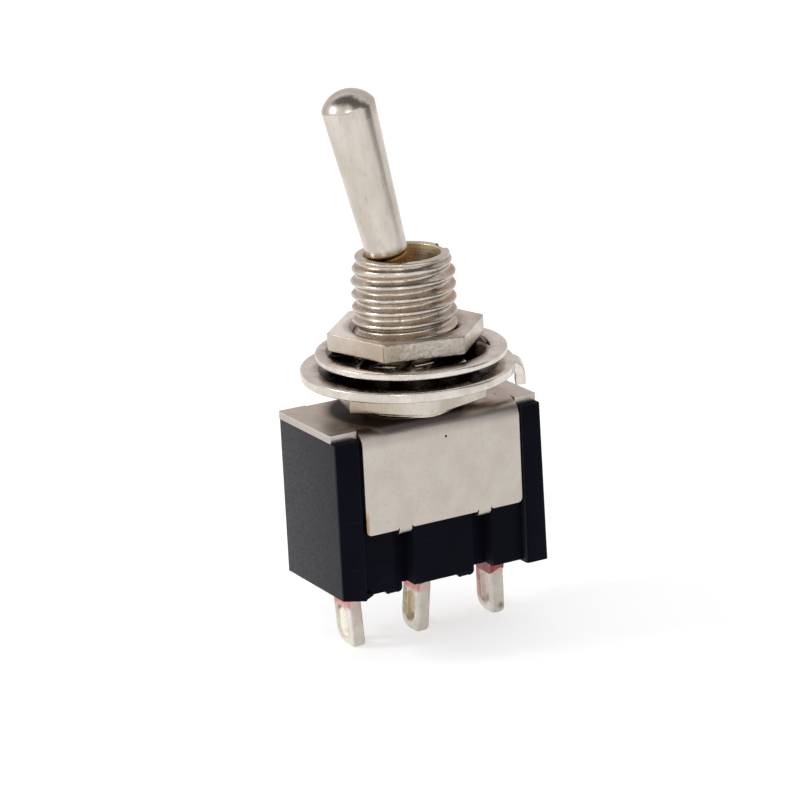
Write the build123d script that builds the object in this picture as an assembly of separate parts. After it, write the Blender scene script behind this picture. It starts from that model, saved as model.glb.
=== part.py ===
from build123d import *
import os
from math import asin, cos, pi, radians, sin, sqrt, tan

# Miniature single-pole changeover toggle switch, panel mounting, with solder lugs.
# Millimetres. Z = 0 is the top face of the steel frame, on the axis of the threaded bushing.
# +Z points out of the panel, X runs along the row of lugs, and the lever leans towards -X.

# ---- moulded case ----
case_length = 13.2        # X
case_width = 6.6          # Y, over the end ribs
case_height = 9.22        # from the frame's underside to the base
foot_height = 0.13        # how far the two feet stand below the base
end_rib_width = 1.58      # X, end ribs on the front and back faces, at -X
key_rib_width = 1.28      # and the narrower ones at +X
end_wall = 0.9            # X, end walls of the contact chamber
side_wall = 1.25          # Y, chamber wall behind the flaps
floor_thickness = 1.4
case_edge_radius = 0.25   # outer upright edges
groove_x = 2.56           # two upright grooves on each long face, at +X and -X
groove_width = 1.27
groove_depth = 0.9
groove_head = 0.35        # how far a groove runs up behind the flap
barrier_width = 1.1       # X, two barriers between the lugs, under the base
barrier_length = 3.0      # Y
barrier_height = 0.8
barrier_edge_radius = 0.3

# ---- U-shaped steel frame ----
frame_thickness = 0.45
plate_front = 2.8         # Y, the plate's bare ends over the case's ribs, in front of the axis
plate_back = 3.3          # and the whole plate behind it
flap_drop = 6.05          # from the frame's top face to a flap's lower edge
flap_gap = 0.15           # X, between a flap and the case's end ribs
bend_radius = 0.95        # outside of the front bend, the back one is square outside
flap_corner_radius = 0.35
tab_width = 0.8           # crimp tabs at the lower edge, folded into the grooves
tab_bend_radius = 0.5     # outside of a tab's fold
tab_rise = 0.1            # how far above the lower edge a tab starts to bend
tab_reach = 0.6           # Y, how far a tab's leg runs in past its bend

# ---- insulating card under the frame ----
card_thickness = 0.2
card_end_inset = 0.7      # X, from the case's end to the card
card_side_inset = 0.75    # Y, from the case's face behind a flap to the card
card_slot_length = 5.2    # X, for the lever's stem
card_slot_width = 2.6     # Y
card_clearance = 0.05

# ---- threaded bushing, M6 x 0.75 ----
thread_radius = 2.93
thread_pitch = 0.75
thread_depth = 0.42
flank_angle = 36.0        # degrees, a flank from the thread's normal plane
root_width = 0.1          # Z, flat at the root
groove_start = 0.562      # height of the helical groove's lower end, at +X
groove_rise = 7.28        # from there to its upper end
groove_overrun = 0.02     # how far the groove's drawn section passes the crests
thread_height = 7.77      # top of the full thread cylinder
nose_radius = 2.66        # plain nose above the thread
nose_height = 8.74
nose_chamfer = 0.2
mouth_radius = 2.17       # bore at the nose
lip_radius = 1.8          # narrowest place, above the ball
foot_bore_radius = 2.45   # bore where the lever's stem swings widest
flare_height = 1.0        # where that widening starts
spigot_radius = 2.8       # staked through the frame
keyway_width = 1.1
keyway_depth = 0.6
keyway_azimuth = -3.0     # degrees from +X

# ---- lever ----
pivot_height = 5.0
lean = 12.5               # degrees either side of upright
shank_length = 12.82      # pivot to the foot of the domed tip
dome_height = 0.9
tip_radius = 1.47
shank_radius = 1.2        # the lever's long taper ends here, in the bushing's mouth
shank_start = 4.1         # from the pivot along the lever
neck_radius = 1.0
neck_start = 3.6
ball_radius = 2.0
ball_clearance = 0.05
stem_radius = 0.95
stem_length = 6.6         # pivot to the stem's lower end
spring_bore_radius = 0.6
spring_bore_top = 2.6     # below the pivot

# ---- cross pin of the lever ----
pin_radius = 0.35
pin_length = 4.5
pin_clearance = 0.05      # between the pin and its slots in the bushing

# ---- plunger and its spring ----
plunger_clearance = 0.05
plunger_tip_radius = 0.5
plunger_collar_radius = 1.0
plunger_collar_gap = 0.6  # collar to stem, more than the plunger's travel
plunger_collar_height = 0.9
plunger_shank_length = 2.6
spring_wire_radius = 0.1
spring_pitch = 0.38
spring_side_clearance = 0.06

# ---- rocker ----
fulcrum_depth = 6.4       # below the frame's top face
rocker_slope = 20.0       # degrees, each arm of the shallow V
rocker_tilt = 12.0        # degrees either side of level
rocker_height = 0.5       # arm's upper face above the fulcrum
rocker_thickness = 0.4
rocker_width = 2.4        # Y
rocker_overhang = 0.5     # arm beyond the contact's centre
knuckle_radius = 0.25
knuckle_clearance = 0.05
plunger_gap = 0.06        # least gap between the plunger's tip and the rocker
contact_gap = 0.04        # between the lowered arm and its contact

# ---- lugs and contacts ----
lug_inset = 1.9           # X, from the case's end to the middle of an outer lug
lug_thickness = 0.8       # X
lug_width = 2.0           # Y
lug_length = 3.7          # below the base
eye_width = 0.85          # Y, solder slot
eye_length = 1.7          # Z
eye_margin = 0.53         # slot to the lug's end
lug_back_radius = 1.0
lug_front_radius = 0.3
cradle_margin = 0.05      # lug's top below the fulcrum
contact_radius = 0.4
contact_length = 1.4      # Y

# ---- epoxy around the lugs ----
seal_length = 1.9         # X
seal_width = 3.1          # Y
seal_height = 0.35
seal_film = 0.1           # epoxy wicked down the lug
seal_wick = 1.3           # how far down

# ---- nuts and washers ----
nut_across_flats = 7.9
nut_corner_radius = 0.2
nut_edge = 0.08           # chamfer of the nuts' outer edges
bottom_nut_lift = 0.48    # above the frame
bottom_nut_thickness = 1.29
bottom_nut_azimuth = 15.0 # degrees, a corner
top_nut_thickness = 1.0
top_nut_azimuth = 46.1
keyed_washer_radius = 6.05
keyed_washer_thickness = 0.58
washer_clearance = 0.06   # washer bores over the thread
key_clearance = 0.06
tab_azimuth = -28.0       # the washer's outer tab
washer_tab_width = 1.6
washer_tab_reach = 0.51   # how far the folded tab stands out past the rim
washer_tab_bend = 0.8     # outside radius of its fold
washer_tab_drop = 1.45    # below the washer's top face
lock_washer_radius = 5.27
lock_ring_width = 1.0
lock_ring_thickness = 0.4
tooth_count = 9
tooth_azimuth = -4.0      # degrees, one tooth's middle
tooth_twist = 30.0        # degrees
tooth_width = 1.7
tooth_thickness = 0.4
tooth_seat = 0.02         # tooth edges clear their neighbours by this

# ---- places worked out from the sizes above ----
case_top = -frame_thickness
base_z = case_top - case_height
floor_z = base_z + floor_thickness
face_y = case_width / 2 - frame_thickness
recess_left = -case_length / 2 + end_rib_width
recess_right = case_length / 2 - key_rib_width
recess_x = (recess_left + recess_right) / 2
flap_half = (recess_right - recess_left) / 2 - flap_gap
lug_pitch = case_length / 2 - lug_inset
chamber_length = case_length - 2 * end_wall
chamber_width = 2 * (face_y - side_wall)
flap_bottom = -flap_drop
inner_bend = bend_radius - frame_thickness
card_length = case_length - 2 * card_end_inset
card_width = 2 * (face_y - card_side_inset)
socket_radius = ball_radius + ball_clearance
lip_height = pivot_height + sqrt(socket_radius**2 - lip_radius**2)
slot_radius = pin_radius + pin_clearance
fulcrum = Vector(0, 0, -fulcrum_depth)
drop = pivot_height + fulcrum_depth
plunger_reach = (
    drop * cos(radians(rocker_tilt / 2 - rocker_slope))
    - rocker_height - plunger_tip_radius - plunger_gap
) / cos(radians((lean + rocker_tilt) / 2 - rocker_slope))
arm_reach = lug_pitch + rocker_overhang
low_slope = radians(rocker_slope - rocker_tilt)
arm_underside = rocker_height - rocker_thickness
contact_z = -fulcrum_depth + (
    lug_pitch * sin(low_slope) + arm_underside - contact_radius - contact_gap
) / cos(low_slope)
bottom_nut_top = bottom_nut_lift + bottom_nut_thickness
keyed_washer_top = bottom_nut_top + keyed_washer_thickness
tooth_height = (
    tooth_width * sin(radians(tooth_twist)) + tooth_thickness * cos(radians(tooth_twist))
)
lock_washer_z = keyed_washer_top + tooth_seat + tooth_height / 2
top_nut_z = lock_washer_z + tooth_height / 2 + tooth_seat


def turned(points):
    """Solid of revolution about Z from (radius, height) points."""
    outline = Polyline(*[(r, 0, z) for r, z in points], close=True)
    return revolve(make_face(outline), axis=Axis.Z)


def drum(radius, low, high, x=0.0, y=0.0):
    """Upright cylinder between two heights."""
    return Pos(x, y, (low + high) / 2) * Cylinder(radius, high - low)


def block(length, width, low, high, x=0.0, y=0.0):
    """Upright box between two heights."""
    return Pos(x, y, (low + high) / 2) * Box(length, width, high - low)


def leaned(shape):
    """Turns a piece drawn upright about the lever's pivot into its rest position."""
    return Pos(0, 0, pivot_height) * Rot(0, -lean, 0) * shape


def make_case():
    """Thermoset case, open at the top: end ribs stand proud of the flap recesses."""
    body = block(case_length, 2 * face_y, base_z, case_top)
    body = fillet(body.edges().filter_by(Axis.X).group_by(Axis.Z)[-1], inner_bend)
    for side, width in ((-1, end_rib_width), (1, key_rib_width)):
        rib_x = side * (case_length - width) / 2
        body += block(width, case_width, base_z - foot_height, case_top, rib_x)
    upright = body.edges().filter_by(Axis.Z)
    body = fillet(upright.group_by(Axis.X)[0] + upright.group_by(Axis.X)[-1], case_edge_radius)
    body -= block(chamber_length, chamber_width, floor_z, case_top)
    pocket = card_clearance * 2
    body -= block(card_length + pocket, card_width + pocket, case_top - card_thickness, case_top)
    groove_top = flap_bottom + groove_head
    for side in (-1, 1):
        for front in (-1, 1):
            wall_y = front * (face_y - groove_depth / 2)
            x = recess_x + side * groove_x
            body -= block(groove_width, groove_depth, base_z, groove_top, x, wall_y)
        barrier_x = side * lug_pitch / 2
        barrier = block(barrier_width, barrier_length, base_z - barrier_height, base_z, barrier_x)
        body += fillet(barrier.edges().group_by(Axis.Z)[0], barrier_edge_radius)
    for x in (-lug_pitch, 0, lug_pitch):
        body -= block(lug_thickness, lug_width, base_z - foot_height, floor_z, x)
    return body


def bend_profile():
    """Half section of the frame, from the bushing's axis down to a flap's lower edge."""
    outer = case_width / 2
    shoulder = outer - bend_radius
    turn = -bend_radius
    path = (
        Line((0, 0, 0), (0, shoulder, 0))
        + ThreePointArc(
            (0, shoulder, 0),
            (0, shoulder + bend_radius * sin(pi / 4), turn + bend_radius * cos(pi / 4)),
            (0, outer, turn),
        )
        + Line((0, outer, turn), (0, outer, flap_bottom))
        + Line((0, outer, flap_bottom), (0, face_y, flap_bottom))
        + Line((0, face_y, flap_bottom), (0, face_y, turn))
        + ThreePointArc(
            (0, face_y, turn),
            (0, shoulder + inner_bend * sin(pi / 4), turn + inner_bend * cos(pi / 4)),
            (0, shoulder, case_top),
        )
        + Line((0, shoulder, case_top), (0, 0, case_top))
        + Line((0, 0, case_top), (0, 0, 0))
    )
    return make_face(path)


def crimp_tab(x):
    """Tab at a flap's lower edge, folded into the case's groove."""
    start = flap_bottom + tab_rise
    centre_y = case_width / 2 - tab_bend_radius
    sheet = centre_y - tab_reach
    corner = sin(pi / 4)
    path = (
        Line((0, face_y, start), (0, case_width / 2, start))
        + ThreePointArc(
            (0, case_width / 2, start),
            (0, centre_y + tab_bend_radius * corner, start - tab_bend_radius * corner),
            (0, centre_y, start - tab_bend_radius),
        )
        + Line((0, centre_y, start - tab_bend_radius), (0, sheet, start - tab_bend_radius))
        + Line((0, sheet, start - tab_bend_radius), (0, sheet, start - tab_bend_radius + frame_thickness))
        + Line(
            (0, sheet, start - tab_bend_radius + frame_thickness),
            (0, centre_y, start - tab_bend_radius + frame_thickness),
        )
        + Line((0, centre_y, start - tab_bend_radius + frame_thickness), (0, face_y, start))
    )
    return Pos(x, 0, 0) * extrude(make_face(path), amount=tab_width / 2, both=True, dir=(1, 0, 0))


def make_frame():
    """Sheet folded down over the case's long faces, with crimp tabs and bare ends over the ribs."""
    plate = block(
        case_length, plate_front + plate_back, case_top, 0, 0, (plate_back - plate_front) / 2,
    )
    plate -= block(2 * flap_half, case_width, case_top, 0, recess_x, -case_width / 2)
    flap = Pos(recess_x, 0, 0) * extrude(bend_profile(), amount=flap_half, both=True, dir=(1, 0, 0))
    corners = flap.edges().filter_by(Axis.Y).group_by(Axis.Z)[0]
    flap = fillet(corners.group_by(Axis.X)[0] + corners.group_by(Axis.X)[-1], flap_corner_radius)
    half = flap + crimp_tab(recess_x - groove_x) + crimp_tab(recess_x + groove_x)
    frame = plate + half + mirror(half, about=Plane.XZ)
    return frame - drum(spigot_radius, case_top, 0)


def make_card():
    """Fish-paper card between the frame and the contact chamber."""
    card = block(card_length, card_width, case_top - card_thickness, case_top)
    return card - block(card_slot_length, card_slot_width, case_top - card_thickness, case_top)


def thread_groove():
    """Helical V groove between the thread's crests."""
    root = thread_radius - thread_depth
    out = thread_radius + groove_overrun
    low = root_width / 2
    high = low + (out - root) * tan(radians(flank_angle))
    section = Polyline((root, 0, -low), (out, 0, -high), (out, 0, high), (root, 0, low), close=True)
    path = Helix(thread_pitch, groove_rise, root)
    return Pos(0, 0, groove_start) * sweep(make_face(section), path=path, is_frenet=True)


def make_bushing():
    """Turned brass bushing: cut thread, plain nose, ball socket and staked spigot."""
    turned_off = turned([
        (nose_radius - nose_chamfer, nose_height), (nose_radius, nose_height - nose_chamfer),
        (nose_radius, thread_height + thread_radius - nose_radius), (thread_radius, thread_height),
        (2 * thread_radius, thread_height), (2 * thread_radius, nose_height),
    ])
    threaded = drum(thread_radius, 0, nose_height) - thread_groove() - turned_off
    outside = threaded + drum(spigot_radius, case_top, 0)
    bore = turned([
        (0, case_top), (foot_bore_radius, case_top), (socket_radius, flare_height),
        (socket_radius, pivot_height), (0, pivot_height),
    ])
    socket = Pos(0, 0, pivot_height) * Sphere(socket_radius)
    mouth = turned([
        (0, pivot_height), (lip_radius, pivot_height), (lip_radius, lip_height),
        (mouth_radius, nose_height), (0, nose_height),
    ])
    cap = block(4 * ball_radius, 4 * ball_radius, lip_height, nose_height)
    bushing = outside - bore - (socket - cap) - mouth
    slot_length = pin_length + 2 * pin_clearance
    bushing -= block(2 * slot_radius, slot_length, case_top, pivot_height)
    bushing -= Pos(0, 0, pivot_height) * Rot(90, 0, 0) * Cylinder(slot_radius, slot_length)
    keyway = block(
        2 * keyway_depth, keyway_width, bottom_nut_lift, nose_height,
        thread_radius, 0,
    )
    return bushing - Rot(0, 0, keyway_azimuth) * keyway


def make_lever():
    """Turned lever: domed tip, long taper, neck, ball and stem with its spring bore."""
    dome_radius = (tip_radius**2 + dome_height**2) / (2 * dome_height)
    dome_turn = asin(tip_radius / dome_radius) / 2
    dome_centre = shank_length + dome_height - dome_radius
    stem_top = -sqrt(ball_radius**2 - stem_radius**2)
    neck_foot = sqrt(ball_radius**2 - neck_radius**2)
    path = (
        Line((0, 0, -stem_length), (stem_radius, 0, -stem_length))
        + Line((stem_radius, 0, -stem_length), (stem_radius, 0, stem_top))
        + ThreePointArc((stem_radius, 0, stem_top), (ball_radius, 0, 0), (neck_radius, 0, neck_foot))
        + Line((neck_radius, 0, neck_foot), (neck_radius, 0, neck_start))
        + Line((neck_radius, 0, neck_start), (shank_radius, 0, shank_start))
        + Line((shank_radius, 0, shank_start), (tip_radius, 0, shank_length))
        + ThreePointArc(
            (tip_radius, 0, shank_length),
            (dome_radius * sin(dome_turn), 0, dome_centre + dome_radius * cos(dome_turn)),
            (0, 0, shank_length + dome_height),
        )
        + Line((0, 0, shank_length + dome_height), (0, 0, -stem_length))
    )
    lever = revolve(make_face(path), axis=Axis.Z)
    lever -= drum(spring_bore_radius, -stem_length, -spring_bore_top)
    lever -= Rot(90, 0, 0) * Cylinder(pin_radius, 3 * ball_radius)
    return leaned(lever)


def make_pin():
    """Cross pin pressed through the lever's ball."""
    return leaned(Rot(90, 0, 0) * Cylinder(pin_radius, pin_length))


def plunger_top():
    """Height of the plunger's upper end, measured down the lever from the pivot."""
    return -stem_length + plunger_shank_length


def make_plunger():
    """Moulded plunger: shank in the stem's bore, collar and round tip on the rocker."""
    shank = spring_bore_radius - plunger_clearance
    collar_top = -stem_length - plunger_collar_gap
    collar_foot = collar_top - plunger_collar_height
    tip = Pos(0, 0, -plunger_reach) * Sphere(plunger_tip_radius)
    body = turned([
        (0, plunger_top()), (shank, plunger_top()), (shank, collar_top),
        (plunger_collar_radius, collar_top), (plunger_collar_radius, collar_foot),
        (plunger_tip_radius, -plunger_reach), (0, -plunger_reach),
    ])
    return leaned(body + tip)


def make_spring():
    """Compression spring between the stem's bore and the plunger."""
    low = plunger_top() + spring_wire_radius
    high = -spring_bore_top - spring_wire_radius
    coil = spring_bore_radius - spring_side_clearance - spring_wire_radius
    path = Helix(spring_pitch, high - low, coil)
    section = Plane(origin=path @ 0, z_dir=path % 0) * Circle(spring_wire_radius)
    return leaned(Pos(0, 0, low) * sweep(section, path=path, is_frenet=True))


def make_rocker():
    """Stamped V-shaped contact arm with a knuckle that seats in the common lug."""
    arm = Pos(arm_reach / 2, 0, rocker_height - rocker_thickness / 2) * Box(
        arm_reach, rocker_width, rocker_thickness
    )
    right = Rot(0, -rocker_slope, 0) * arm
    left = mirror(right, about=Plane.YZ)
    web = Pos(0, 0, (rocker_height + arm_underside) / 2) * Box(
        2 * knuckle_radius, rocker_width, rocker_thickness
    )
    knuckle = Rot(90, 0, 0) * Cylinder(knuckle_radius, rocker_width)
    return Pos(*fulcrum) * Rot(0, rocker_tilt, 0) * (right + left + web + knuckle)


def make_lug(x, top):
    """Flat lug through the base: its end is rounded more at the back, and it has a solder slot."""
    tip = base_z - lug_length
    lug = block(lug_thickness, lug_width, tip, top, x)
    ends = lug.edges().filter_by(Axis.X).group_by(Axis.Z)[0].sort_by(Axis.Y)
    lug = fillet(ends[-1], lug_back_radius)
    ends = lug.edges().filter_by(Axis.X).group_by(Axis.Z)[0].sort_by(Axis.Y)
    lug = fillet(ends[0], lug_front_radius)
    eye_low = tip + eye_margin + eye_width / 2
    eye_high = eye_low + eye_length - eye_width
    lug -= block(lug_thickness, eye_width, eye_low, eye_high, x)
    for z in (eye_low, eye_high):
        lug -= Pos(x, 0, z) * Rot(0, 90, 0) * Cylinder(eye_width / 2, lug_thickness)
    return lug


def make_common_lug():
    """Middle lug, whose top is the rocker's cradle."""
    cradle = Pos(*fulcrum) * Rot(90, 0, 0) * Cylinder(knuckle_radius + knuckle_clearance, 2 * lug_width)
    return make_lug(0, -fulcrum_depth - cradle_margin) - cradle


def make_contact(x):
    """Half-round silver contact on top of an outer lug."""
    bar = Pos(x, 0, contact_z) * Rot(90, 0, 0) * Cylinder(contact_radius, contact_length)
    return bar - block(4 * contact_radius, 2 * contact_length, contact_z - 2 * contact_radius, contact_z, x)


def make_seal(x):
    """Epoxy poured around a lug where it leaves the base, wicked a little way down it."""
    seal = block(seal_length, seal_width, base_z - seal_height, base_z, x)
    seal = fillet(seal.edges().filter_by(Axis.Z), min(seal_length, seal_width) / 3)
    film = 2 * seal_film
    seal += block(lug_thickness + film, lug_width + film, base_z - seal_wick, base_z, x)
    for side, width in ((-1, end_rib_width), (1, key_rib_width)):
        rib_x = side * (case_length - width) / 2
        seal -= block(width, case_width, base_z - foot_height, base_z, rib_x)
    return seal - block(lug_thickness, lug_width, base_z - seal_wick, base_z, x)


def make_nut(low, thickness, azimuth):
    """Thin pressed hexagon nut."""
    hexagon = RegularPolygon(nut_across_flats / 2, 6, major_radius=False, rotation=azimuth)
    nut = Pos(0, 0, low) * extrude(hexagon, amount=thickness)
    nut = fillet(nut.edges().filter_by(Axis.Z), nut_corner_radius)
    nut = chamfer(nut.edges().filter_by(Axis.Z, reverse=True), nut_edge)
    return nut - drum(thread_radius, low, low + thickness)


def washer_tab():
    """Tab at the keyed washer's rim, folded down, drawn at +X."""
    high = keyed_washer_top
    outer = keyed_washer_radius + washer_tab_reach
    centre_x = outer - washer_tab_bend
    centre_z = high - washer_tab_bend
    inner_radius = washer_tab_bend - keyed_washer_thickness
    root = keyed_washer_radius - washer_tab_bend
    foot = high - washer_tab_drop
    edge = sin(pi / 4)
    path = (
        Line((root, 0, high), (centre_x, 0, high))
        + ThreePointArc(
            (centre_x, 0, high),
            (centre_x + washer_tab_bend * edge, 0, centre_z + washer_tab_bend * edge),
            (outer, 0, centre_z),
        )
        + Line((outer, 0, centre_z), (outer, 0, foot))
        + Line((outer, 0, foot), (outer - keyed_washer_thickness, 0, foot))
        + Line((outer - keyed_washer_thickness, 0, foot), (outer - keyed_washer_thickness, 0, centre_z))
        + ThreePointArc(
            (outer - keyed_washer_thickness, 0, centre_z),
            (centre_x + inner_radius * edge, 0, centre_z + inner_radius * edge),
            (centre_x, 0, centre_z + inner_radius),
        )
        + Line((centre_x, 0, centre_z + inner_radius), (root, 0, bottom_nut_top))
        + Line((root, 0, bottom_nut_top), (root, 0, high))
    )
    return extrude(make_face(path), amount=washer_tab_width / 2, both=True, dir=(0, 1, 0))


def make_keyed_washer():
    """Locating washer: a key in the bushing's keyway and a tab folded down at its rim."""
    low = bottom_nut_top
    high = keyed_washer_top
    bore = thread_radius + washer_clearance
    washer = drum(keyed_washer_radius, low, high) - drum(bore, low, high)
    key_reach = thread_radius - keyway_depth + key_clearance
    key = block(
        bore + washer_clearance - key_reach, keyway_width - 2 * key_clearance, low, high,
        (bore + washer_clearance + key_reach) / 2,
    )
    return washer + Rot(0, 0, keyway_azimuth) * key + Rot(0, 0, tab_azimuth) * washer_tab()


def make_lock_washer():
    """Internal-tooth lock washer: flat ring with twisted teeth towards the thread."""
    inner = lock_washer_radius - lock_ring_width
    low = lock_washer_z - lock_ring_thickness / 2
    high = lock_washer_z + lock_ring_thickness / 2
    washer = drum(lock_washer_radius, low, high) - drum(inner, low, high)
    start = thread_radius + washer_clearance
    root = inner + lock_ring_width / 4
    tooth = Pos((start + root) / 2, 0, 0) * Rot(tooth_twist, 0, 0) * Box(
        root - start, tooth_width, tooth_thickness
    )
    spacing = 360 / tooth_count
    for n in range(tooth_count):
        washer += Pos(0, 0, lock_washer_z) * Rot(0, 0, tooth_azimuth + n * spacing) * tooth
    return washer - drum(thread_radius + washer_clearance, low - tooth_height, high + tooth_height)


def pieces():
    """Every sub-part, by node name."""
    return {
        "case": make_case(),
        "frame": make_frame(),
        "insulator_card": make_card(),
        "bushing": make_bushing(),
        "lever": make_lever(),
        "pivot_pin": make_pin(),
        "plunger": make_plunger(),
        "plunger_spring": make_spring(),
        "rocker": make_rocker(),
        "terminal_left": make_lug(-lug_pitch, contact_z),
        "terminal_common": make_common_lug(),
        "terminal_right": make_lug(lug_pitch, contact_z),
        "contact_left": make_contact(-lug_pitch),
        "contact_right": make_contact(lug_pitch),
        "seal_left": make_seal(-lug_pitch),
        "seal_common": make_seal(0),
        "seal_right": make_seal(lug_pitch),
        "bottom_nut": make_nut(bottom_nut_lift, bottom_nut_thickness, bottom_nut_azimuth),
        "keyed_washer": make_keyed_washer(),
        "lock_washer": make_lock_washer(),
        "top_nut": make_nut(top_nut_z, top_nut_thickness, top_nut_azimuth),
    }


os.makedirs("parts", exist_ok=True)
for node, shape in pieces().items():
    export_step(shape, f"parts/{node}.step")
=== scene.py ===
"""Looks of a miniature toggle switch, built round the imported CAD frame.

Lengths are millimetres unless a name says otherwise, and piece() scales a finished mesh to metres.
Z = 0 is the top face of the steel frame, +Z points out of the panel, and the lever leans towards -X.
"""

import math

import bmesh
import bpy
from mathutils import Matrix, Vector, noise


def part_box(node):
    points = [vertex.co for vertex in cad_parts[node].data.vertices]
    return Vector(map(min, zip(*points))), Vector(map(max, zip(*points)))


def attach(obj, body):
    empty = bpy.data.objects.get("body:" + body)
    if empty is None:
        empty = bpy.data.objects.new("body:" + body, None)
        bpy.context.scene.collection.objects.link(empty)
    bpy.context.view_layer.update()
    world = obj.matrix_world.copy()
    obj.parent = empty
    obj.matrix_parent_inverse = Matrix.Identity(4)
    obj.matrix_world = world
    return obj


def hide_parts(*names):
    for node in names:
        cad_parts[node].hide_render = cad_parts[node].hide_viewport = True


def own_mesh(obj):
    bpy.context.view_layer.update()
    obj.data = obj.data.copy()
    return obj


MM = 0.001
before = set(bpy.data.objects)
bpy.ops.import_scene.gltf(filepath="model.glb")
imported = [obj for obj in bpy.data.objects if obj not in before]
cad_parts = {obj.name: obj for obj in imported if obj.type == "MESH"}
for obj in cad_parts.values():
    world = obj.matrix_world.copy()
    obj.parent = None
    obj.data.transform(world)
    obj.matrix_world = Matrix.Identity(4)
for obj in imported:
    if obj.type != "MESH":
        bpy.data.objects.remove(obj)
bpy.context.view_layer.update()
scene = bpy.context.scene


def box(node):
    """Lowest and highest corner of a CAD node in millimetres."""
    low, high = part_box(node)
    return low / MM, high / MM


# ---- places read from the frame ----
case_high = box("case")[1]
frame_high = box("frame")[1]
bushing_low, bushing_high = box("bushing")
bottom_low, bottom_high = box("bottom_nut")
top_low, top_high = box("top_nut")
lock_low, lock_high = box("lock_washer")
card_low, card_high = box("insulator_card")
lug_low, lug_high = box("terminal_common")
left_lug_low, left_lug_high = box("terminal_left")

case_top = case_high.z
base_z = box("seal_common")[1].z
half_width = case_high.y
half_length = case_high.x
thread_radius = -bushing_low.x
nose_top = bushing_high.z
lug_pitch = -(left_lug_low.x + left_lug_high.x) / 2

# ---- sizes that a box doesn't give, most of them the source's own ----
SHEET = 0.45
PLATE_FRONT = 2.8
FLAP_DROP = 6.05
FLAP_GAP = 0.15
BEND = 0.95
BACK_BEND = 0.2
TAB_WIDTH = 0.8
TAB_BEND = 0.5
TAB_RISE = 0.1
TAB_REACH = 0.6
FLAP_CORNER = 0.35
LEFT_RIB = 1.58
RIGHT_RIB = 1.28
FOOT = 0.13
GROOVE_X = 2.56
GROOVE_WIDTH = 1.27
GROOVE_DEPTH = 0.9
GROOVE_HEAD = 0.35
FLOOR = 1.4
END_WALL = 0.9
SIDE_WALL = 1.25
DRAFT = 0.14
FOOT_RISE = 0.32
RAMP = 0.34
RAMP_RISE = 0.14
BARRIER = Vector((1.1, 3.0, 0.8))
BARRIER_EDGE = 0.3

PITCH = 0.75
ROOT_RADIUS = 2.63
FRONT_CREST = 7.44
FRONT_ANGLE = math.radians(-118.5)
NOSE_RADIUS = 2.66
MOUTH_RADIUS = 2.17
LIP_RADIUS = 1.8
FOOT_BORE = 2.45
SPIGOT = 2.8
KEYWAY_HALF = 0.55
KEYWAY_FLOOR = 2.33
KEYWAY_AZIMUTH = -3.0

PIVOT = 5.0
LEAN = 12.5
SOCKET = 2.05
BALL = 2.0
STEM = 0.95
STEM_LENGTH = 6.6
SPRING_BORE = 0.6
SPRING_BORE_TOP = 2.6
SPRING_SIDE = 0.06
SPRING_PITCH = 0.38
WIRE = 0.1
PLUNGER_SHANK = 2.6
PIN_RADIUS = 0.35
PIN_SLOT = 0.4
PIN_SLOT_HALF = 2.3
NECK = 1.08
SHANK = 1.18
SHANK_START = 4.1
TIP = 1.51
SHANK_END = 12.82
DOME = 0.9

ACROSS_FLATS = 7.9
BOTTOM_AZIMUTH = 15.0
TOP_AZIMUTH = 46.1
TOP_NUT_RISE = 0.06
KEYED_RADIUS = 6.05
KEYED_THICKNESS = 0.58
# radius of the painted shade on the locating washer
KEYED_SHADE_RADIUS = 5.12
WASHER_BORE = 2.99
TAB_AZIMUTH = -28.0
WASHER_TAB = 1.6
WASHER_REACH = 0.51
WASHER_FOLD = 0.8
WASHER_DROP = 1.45
LOCK_RADIUS = 5.4
LOCK_SHIFT = Vector((0.22, -0.12, 0.08))
LOCK_WIDTH = 1.0
LOCK_THICKNESS = 0.4
# radius of the painted shade on the lock washer
LOCK_SHADE_RADIUS = 4.6
TEETH = 9
TOOTH_AZIMUTH = -4.0
TOOTH_TWIST = 30.0
TOOTH_WIDTH = 1.7

EYE_WIDTH = 0.85
EYE_LENGTH = 1.7
EYE_MARGIN = 0.53
LUG_BACK = 1.0
LUG_EDGE = 0.19
LUG_SIDE_STEPS = (20, 4, 20, 2)
LUG_FRONT = 0.42
CRADLE_RADIUS = 0.3
SEAL_SIDE_STEPS = (7, 12, 7, 12)
WICK = 1.3

TURN = 2 * math.pi
recess_x = (LEFT_RIB - RIGHT_RIB) / 2
flap_left = -half_length + LEFT_RIB + FLAP_GAP
flap_right = half_length - RIGHT_RIB - FLAP_GAP
face_y = half_width - SHEET

# ---- marks that the photograph shows ----
LEFT_STAIN = (-4.3, -1.7, 0)
# centres of painted shadows: on the plate under the lower nut, and on the locating washer
NUT_SHADOW_CENTRE = (-0.9, -0.2, 0)
WASHER_SHADOW = (-0.14, -0.36, 0)
FLAP_PIT = (0.41, -half_width, -1.22)
PLATE_PIT = (4.67, -1.57, 0)
PIT_RADIUS = 0.09


# ---------------------------------------------------------------- mesh helpers
def smooth(value, low, high):
    """Smooth step from 0 at low to 1 at high."""
    share = min(1.0, max(0.0, (value - low) / (high - low)))
    return share * share * (3 - 2 * share)


def compass(degrees):
    """Level direction, turned from +X towards +Y."""
    return Vector((math.cos(math.radians(degrees)), math.sin(math.radians(degrees)), 0))


def spin(degrees, axis="Z"):
    return Matrix.Rotation(math.radians(degrees), 4, axis)


def arc(x, y, radius, start, end, steps):
    """Points of an arc, angles in degrees."""
    angles = [math.radians(start + (end - start) * k / steps) for k in range(steps + 1)]
    return [(x + radius * math.cos(a), y + radius * math.sin(a)) for a in angles]


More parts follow.
